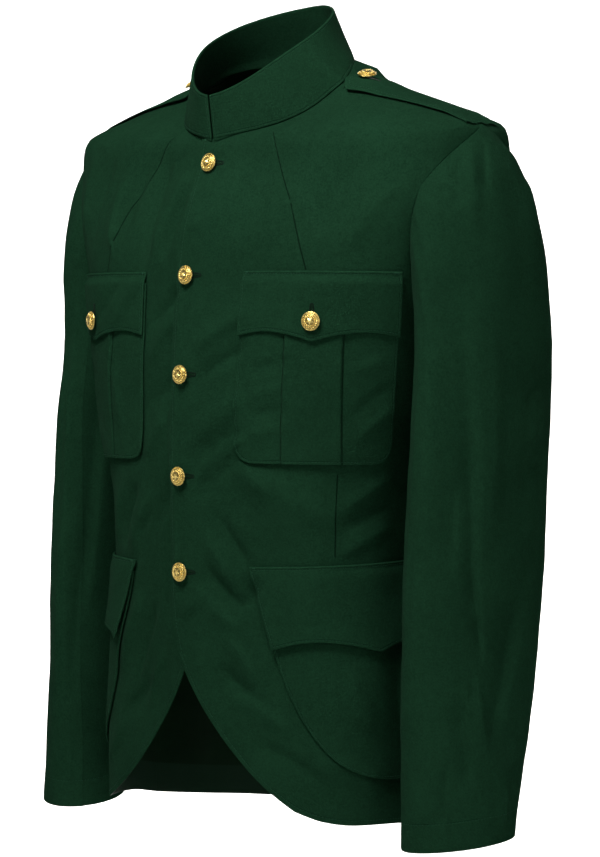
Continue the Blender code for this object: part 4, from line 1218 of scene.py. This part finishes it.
def on_dome(radius, share, turns):
    """Places round the dome at a share of its radius, with the ways outward and up."""
    turns = np.radians(turns)
    out = np.column_stack([np.cos(turns), np.sin(turns), np.zeros(len(turns))])
    beside = 0.02
    slope = (dome_height(share + beside) - dome_height(share - beside)) / (2 * beside)
    up = unit(np.array((0.0, 0.0, 1.0)) - out * slope)
    places = out * share * radius
    places[:, 2] = dome_height(share) * radius
    return places, out, up


def star_pattern(radius):
    """A five-pointed star with faceted arms."""
    bpy.ops.object.select_all(action="DESELECT")
    bpy.ops.mesh.primitive_circle_add(vertices=10, radius=STAR_REACH * radius, fill_type="TRIFAN")
    mesh = bpy.context.object.data
    points = points_of(mesh)
    middle = np.linalg.norm(points, axis=1) < 0.1 * radius
    points[np.flatnonzero(~middle)[::2]] *= NOTCH
    points[middle, 2] = STAR_RISE * radius
    set_points(mesh, points)
    bpy.ops.object.mode_set(mode="EDIT")
    bpy.ops.mesh.select_all(action="SELECT")
    bpy.ops.mesh.normals_make_consistent(inside=False)
    bpy.ops.object.mode_set(mode="OBJECT")
    return taken_out()


def stamped_button(radius):
    """A button with a pearled border, a wreath of leaves and a star, and how bright each point is."""
    body = turned_button(radius)
    pearl = bead(*(size * radius for size in PEARL))
    leaf = bead(*(size * radius for size in LEAF), segments=8, rings=6)
    parts = [body]
    places, out, up = on_dome(radius, PEARL_RING, np.arange(0, 360, PEARL_STEP))
    parts.append(copies(pearl, places, out, up))
    for share, lean, start in LEAF_RINGS:
        places, out, up = on_dome(radius, share, np.arange(start, 360 + start, LEAF_STEP))
        along = np.cross(up, out)
        lean = math.radians(lean)
        parts.append(copies(leaf, places, along * math.cos(lean) + out * math.sin(lean), up))
    star, faces = star_pattern(radius)
    parts.append((star + (0.0, 0.0, STAR_SEAT * radius), faces))
    away = np.hypot(*body[0][:, :2].T) / radius
    outer = (away > RIM_START) | (body[0][:, 2] < RIM_FOOT * radius)
    design = np.ones(sum(len(points) for points, _ in parts[1:]))
    return parts, np.concatenate([np.where(outer, BRIGHT, TONED), design])


def button_seats():
    """Where each plain button meets the cloth and the way that it faces, once the cloth hangs."""
    seats = {}
    for name in BUTTONS:
        points = points_of(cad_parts[name].data)
        middle = points.mean(0)
        # a button is thinnest along its own axis
        up = np.linalg.eigh(np.cov((points - middle).T))[1][:, 0]
        up = up * np.sign(up @ outward_of("front", middle[None])[0])
        seat = middle + up * ((points - middle) @ up).min()
        if "strap" in name:
            up = unit(up + STRAP_TIP)
        seats[name] = hang("front_left", seat[None])[0], up
    return seats


# ---- buttonholes ----
HOLE_START, HOLE_STEP = -0.06, 0.05  # shares of its length, from the shank to its first purl and between two
# half the slit's width in millimetres at shares of its length, which the purls and the dark sheet of painted
# shadow in it follow: the shank pulls it open
HOLE_SHARES, HOLE_HALVES = (0.0, 0.5, 1.0), (1.2, 1.6, 0.5)
HOLE_FAN = np.radians(np.arange(-75, 76, 30))  # the purls round its far end
# millimetres: from the slit to the purls beside it and round its end, and how high they stand
PURL_BESIDE, PURL_ROUND, PURL_RISE = 0.5, 0.6, 0.1


def work_buttonhole(name, seat, up, purl, slit):
    """Binds the slit under a button with purl stitches, and lays a dark sheet between them as painted shadow
    in the slit.
    """
    _, place, side = name.split("_")
    tree = cloth_tree(HOLED[place].replace("*", side))
    along = np.array((0.0, 0.0, 1.0) if place == "chest" else (side_of(name), 0.0, 0.0))
    along = unit(along - up * (along @ up))
    across = np.cross(up, along)
    length = settings().hole_length
    reach = np.arange(HOLE_START, 1.0, HOLE_STEP) * (length - MM)
    middle = seat + along * reach[:, None]
    half = np.interp(reach / length, HOLE_SHARES, HOLE_HALVES) * MM
    spots, ways = [], []
    for edge in (-1, 1):
        spots.append(middle + across * edge * (half + PURL_BESIDE * MM)[:, None])
        ways.append(np.repeat(across[None] * edge, len(middle), 0))
    out = along * np.cos(HOLE_FAN)[:, None] + across * np.sin(HOLE_FAN)[:, None]
    spots.append(middle[-1] + out * (half[-1] + PURL_ROUND * MM))
    ways.append(out)
    spots, normals = laid_on(tree, np.concatenate(spots))
    bound = copies(purl, spots + normals * PURL_RISE * MM, np.concatenate(ways), normals)
    piece_from(name + "_hole_twist", [bound], buttonhole_twist())
    # painted shadow: a dark sheet in the lining's material lies along the slit, where the buttonhole is in
    # shade
    spots, normals = laid_on(tree, middle)
    points, faces = slit
    dark = [
        copies((points * (1.0, wide / MM, 1.0), faces), spot[None], along[None], normal[None])
        for spot, normal, wide in zip(spots, normals, half)
    ]
    piece_from(name + "_hole_slit_shadow", dark, viscose_lining_and_slit_shadow())


# ---- bar tacks ----
TACK_STROKES, TACK_STEP = 9, 0.62 * MM
ROW_REACH = 1.2  # millimetres from a row of stitches within which a point lies on it


def tack_corners(node, sign, stroke):
    """Tacks the two upper corners of a flap, each with strokes that lie side by side."""
    mesh = bpy.data.objects[node + "_cloth"].data
    points = points_of(mesh)
    places = places_on(node, points) * (sign, 1.0)
    row, facing = values_of(mesh, "row", "facing")
    on_row = (facing > TACKED) & (np.abs(row) < ROW_REACH)
    tree = cloth_tree(node)
    parts = []
    for end in (1, -1):
        score = places[:, 1] - end * places[:, 0] * BODY_DEGREE
        corner = points[np.where(on_row, score, -np.inf).argmax()]
        way = unit(np.array((-corner[1] * sign, corner[0] * sign, 0.0))) * end
        spots, normals = laid_on(tree, corner + way * (np.arange(TACK_STROKES) * TACK_STEP)[:, None])
        upright = np.repeat([[0.0, 0.0, 1.0]], len(spots), 0)
        parts.append(copies(stroke, spots, upright, normals))
    piece_from(node + "_bar_tacks", parts, sewing_thread())


# ---- the stage ----
CAMERA_TURN = 42.0  # degrees from the front towards the wearer's left
CAMERA_DISTANCE = 3.3
CAMERA_HEIGHT = -0.213
SENSOR_MM = 24.0
# in pixels: the lens, the picture's height, how far above its middle the horizon is, and how far left of its
# middle the garment's own middle is
LENS_PX, PICTURE_PX, HORIZON_PX, ASIDE_PX = 3531, 857, 116.5, 17
FLOOR_RADIUS, FLOOR_LEVEL, WALL_HEIGHT = 6.0, -1.25, 6.0
FLOOR_BORDER = 1.2  # width of the floor's outer ring, so that the corner's curve has room
CORNER_RADIUS = 1.1
AIR = 0.16  # how bright the white light from all round is
# name, place, size and power of each lamp that lights the tunic
SOFTBOXES = (
    ("key_softbox", (0.30, -1.03, 1.06), 0.6, 30.5),
    ("fill_softbox", (1.81, -0.84, -0.13), 0.9, 6.0),
    ("back_softbox", (-1.52, 1.68, 0.86), 0.9, 14.0),
)
SOFTBOX_AIM = (0, 0, -0.3)
# each backdrop lamp's place behind the tunic, to its side and up, then how far behind and up it points
BACKDROP_PLACE, BACKDROP_AIM = (3.2, 0.9, 1.8), (5.2, -1.0)
BACKDROP_SIZE, BACKDROP_POWER, BACKDROP_SPREAD = 0.6, 60.0, math.radians(110)


def raise_cyclorama():
    """A round floor that curves up into a wall."""
    bpy.ops.object.select_all(action="DESELECT")
    bpy.ops.mesh.primitive_circle_add(
        vertices=96, radius=FLOOR_RADIUS, fill_type="NGON", location=(0, 0, FLOOR_LEVEL)
    )
    floor = bpy.context.object
    floor.name = "studio_floor"
    bpy.ops.object.mode_set(mode="EDIT")
    bpy.ops.mesh.select_all(action="SELECT")
    bpy.ops.mesh.inset(thickness=FLOOR_BORDER, depth=0.0)
    bpy.ops.mesh.select_all(action="DESELECT")
    bpy.ops.object.mode_set(mode="OBJECT")
    for vertex in floor.data.vertices:
        vertex.select = vertex.co.xy.length > FLOOR_RADIUS - FLOOR_BORDER / 2
    bpy.ops.object.mode_set(mode="EDIT")
    bpy.ops.mesh.select_mode(type="VERT")
    bpy.ops.mesh.extrude_region_move(TRANSFORM_OT_translate={"value": (0, 0, WALL_HEIGHT)})
    bpy.ops.mesh.select_all(action="SELECT")
    bpy.ops.mesh.normals_make_consistent(inside=True)
    bpy.ops.object.mode_set(mode="OBJECT")
    apply_modifier(
        floor, "BEVEL", width=CORNER_RADIUS, segments=8, limit_method="ANGLE", angle_limit=math.radians(50)
    )
    bpy.ops.object.shade_smooth()
    bpy.ops.object.transform_apply(location=True, rotation=True, scale=True)
    floor.data.materials.append(painted_cyclorama())


def build_cyclorama(tree, shader):
    shader.inputs["Base Color"].default_value = linear("F4F4F2")
    shader.inputs["Roughness"].default_value = 0.9
    shader.inputs["Specular IOR Level"].default_value = 0.1


def painted_cyclorama():
    """Matt emulsion on a studio's curved wall and floor."""
    return material_named("painted_cyclorama", build_cyclorama)


def place_lamp(name, place, aim, size, power, spread=math.pi):
    """A square lamp that points at its aim."""
    light = bpy.data.lights.new(name, "AREA")
    light.size = size
    light.energy = power
    light.spread = spread
    lamp = bpy.data.objects.new(name, light)
    bpy.context.scene.collection.objects.link(lamp)
    lamp.location = place
    lamp.rotation_euler = (Vector(aim) - Vector(place)).to_track_quat("-Z", "Y").to_euler()


def light_backdrop():
    """Two lamps behind the tunic that keep the curved wall white, one at each side."""
    turn = math.radians(CAMERA_TURN)
    ahead = Vector((-math.sin(turn), math.cos(turn), 0.0))
    across = Vector((math.cos(turn), math.sin(turn), 0.0))
    behind, aside, up = BACKDROP_PLACE
    aim_behind, aim_up = BACKDROP_AIM
    aim = ahead * aim_behind + Vector((0, 0, aim_up))
    for side, sign in SIDES:
        place = ahead * behind + across * aside * sign + Vector((0, 0, up))
        place_lamp(f"backdrop_lamp_{side}", place, aim, BACKDROP_SIZE, BACKDROP_POWER, BACKDROP_SPREAD)


def place_camera(scene):
    """A long lens at the wearer's left front, a little above the middle of the garment."""
    turn, tilt = math.radians(CAMERA_TURN), math.atan(HORIZON_PX / LENS_PX)
    right = Vector((math.cos(turn), math.sin(turn), 0.0))
    ahead = Vector((-math.sin(turn) * math.cos(tilt), math.cos(turn) * math.cos(tilt), -math.sin(tilt)))
    up = right.cross(ahead)
    middle = Vector((0.0, 0.0, CAMERA_HEIGHT)) + right * (ASIDE_PX / LENS_PX * CAMERA_DISTANCE)
    data = bpy.data.cameras.new("studio_camera")
    data.sensor_fit = "VERTICAL"
    data.sensor_height = SENSOR_MM
    data.lens = SENSOR_MM * LENS_PX / PICTURE_PX
    data.clip_end = 50.0
    camera = bpy.data.objects.new("studio_camera", data)
    scene.collection.objects.link(camera)
    away = Vector((math.sin(turn), -math.cos(turn), 0.0)) * CAMERA_DISTANCE
    basis = Matrix((right, up, -ahead)).transposed().to_4x4()
    camera.matrix_world = Matrix.Translation(middle + away) @ basis
    scene.camera = camera


# ---- the operators ----
class TunicPiece:
    """What the operators share: each raises if it can't finish."""

    bl_options = {"REGISTER", "UNDO"}

    @classmethod
    def poll(cls, context):
        return context.mode == "OBJECT"


class TUNIC_OT_body(TunicPiece, bpy.types.Operator):
    """Cut the two fronts and the back"""

    bl_idname = "tunic.body"
    bl_label = "Fronts and back"

    def execute(self, context):
        cut("front", "back")
        return {"FINISHED"}


class TUNIC_OT_collar(TunicPiece, bpy.types.Operator):
    """Cut the stand collar"""

    bl_idname = "tunic.collar"
    bl_label = "Collar"

    def execute(self, context):
        cut("collar")
        return {"FINISHED"}


class TUNIC_OT_sleeves(TunicPiece, bpy.types.Operator):
    """Cut the two-piece sleeves"""

    bl_idname = "tunic.sleeves"
    bl_label = "Sleeves"

    def execute(self, context):
        cut("sleeve_top", "sleeve_under")
        return {"FINISHED"}


class TUNIC_OT_straps(TunicPiece, bpy.types.Operator):
    """Cut the shoulder straps"""

    bl_idname = "tunic.straps"
    bl_label = "Shoulder straps"

    def execute(self, context):
        cut("shoulder_strap")
        return {"FINISHED"}


class TUNIC_OT_chest_pockets(TunicPiece, bpy.types.Operator):
    """Cut the pleated chest pockets and their flaps"""

    bl_idname = "tunic.chest_pockets"
    bl_label = "Chest pockets"

    def execute(self, context):
        cut("chest_pocket", "chest_flap")
        return {"FINISHED"}


class TUNIC_OT_hip_pockets(TunicPiece, bpy.types.Operator):
    """Cut the hip pockets and their flaps"""

    bl_idname = "tunic.hip_pockets"
    bl_label = "Hip pockets"

    def execute(self, context):
        cut("hip_pocket", "hip_flap")
        return {"FINISHED"}


class TUNIC_OT_stitching(TunicPiece, bpy.types.Operator):
    """Sew a row of stitches inside every edge that shows one"""

    bl_idname = "tunic.stitching"
    bl_label = "Stitching"

    def execute(self, context):
        step = settings().stitch_length
        stitch = bead(0.8 * step, 0.5 * MM, 0.4 * MM)
        for node, *_ in SHEETS:
            if node == "back":
                continue
            rows = [spaced(line, step) for line in stitch_lines(bpy.data.objects[node + "_cloth"].data)]
            parts = [copies(stitch, *row) for row in rows if row]
            if not parts:
                raise RuntimeError(f"{node} has no row of stitches")
            piece_from(node + "_stitches", parts, sewing_thread())
        return {"FINISHED"}


class TUNIC_OT_buttons(TunicPiece, bpy.types.Operator):
    """Stamp a button and sew one on at each place"""

    bl_idname = "tunic.buttons"
    bl_label = "Buttons"

    def execute(self, context):
        parts, relief = stamped_button(settings().button_diameter / 2)
        for name, (seat, up) in button_seats().items():
            ahead = unit(np.cross((0.0, 0.0, 1.0), up) if abs(up[2]) < 0.8 else np.array((1.0, 0.0, 0.0)))
            placed = [copies(part, seat[None], ahead[None], up[None]) for part in parts]
            piece = piece_from(name + "_gilt", placed, stamped_gilt(), "gilt")
            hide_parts(name)
            float_attribute(piece.data, "relief", relief)
            select_only(piece)
            bpy.ops.object.shade_smooth_by_angle(angle=BUTTON_SMOOTH)
        return {"FINISHED"}


class TUNIC_OT_buttonholes(TunicPiece, bpy.types.Operator):
    """Work a buttonhole under each button"""

    bl_idname = "tunic.buttonholes"
    bl_label = "Buttonholes"

    def execute(self, context):
        purl = bead(1.6 * MM, 0.75 * MM, 0.6 * MM)
        # the dark sheet of painted shadow that lies in each slit
        slit = bead(1.6 * MM, 2.0 * MM, 0.5 * MM)
        for name, (seat, up) in button_seats().items():
            work_buttonhole(name, seat, up, purl, slit)
        return {"FINISHED"}


class TUNIC_OT_bar_tacks(TunicPiece, bpy.types.Operator):
    """Tack the upper corners of the pocket flaps"""

    bl_idname = "tunic.bar_tacks"
    bl_label = "Bar tacks"

    def execute(self, context):
        stroke = bead(1.9 * MM, 0.55 * MM, 0.6 * MM)
        for stem in ("chest_flap", "hip_flap"):
            for side, sign in SIDES:
                tack_corners(f"{stem}_{side}", sign, stroke)
        return {"FINISHED"}


class TUNIC_OT_stage(TunicPiece, bpy.types.Operator):
    """Set up the floor, the lights and the camera"""

    bl_idname = "tunic.stage"
    bl_label = "Stage"

    def execute(self, context):
        raise_cyclorama()
        world = bpy.data.worlds.new("studio_air")
        world.use_nodes = True
        background = world.node_tree.nodes["Background"]
        background.inputs["Color"].default_value = (1.0, 1.0, 1.0, 1.0)
        background.inputs["Strength"].default_value = AIR
        context.scene.world = world
        for name, place, size, power in SOFTBOXES:
            place_lamp(name, place, SOFTBOX_AIM, size, power)
        light_backdrop()
        place_camera(context.scene)
        context.scene.view_settings.view_transform = "Standard"
        return {"FINISHED"}


class TUNIC_PT_panel(bpy.types.Panel):
    """Lists the pieces in the sidebar"""

    bl_idname = "TUNIC_PT_panel"
    bl_label = "Dress tunic"
    bl_space_type = "VIEW_3D"
    bl_region_type = "UI"
    bl_category = "Tunic"

    def draw(self, context):
        for key in TunicSettings.__annotations__:
            self.layout.prop(context.scene.tunic, key)
        for operator in OPERATORS:
            self.layout.operator(operator.bl_idname)


OPERATORS = (
    TUNIC_OT_body, TUNIC_OT_collar, TUNIC_OT_sleeves, TUNIC_OT_straps,
    TUNIC_OT_chest_pockets, TUNIC_OT_hip_pockets, TUNIC_OT_stitching,
    TUNIC_OT_buttons, TUNIC_OT_buttonholes, TUNIC_OT_bar_tacks, TUNIC_OT_stage,
)
CLASSES = (TunicSettings, *OPERATORS, TUNIC_PT_panel)


def register():
    for each in CLASSES:
        bpy.utils.register_class(each)
    bpy.types.Scene.tunic = bpy.props.PointerProperty(type=TunicSettings)


def unregister():
    del bpy.types.Scene.tunic
    for each in reversed(CLASSES):
        bpy.utils.unregister_class(each)


def main():
    register()
    for operator in OPERATORS:
        group, name = operator.bl_idname.split(".")
        getattr(getattr(bpy.ops, group), name)()


if __name__ == "__main__":
    main()
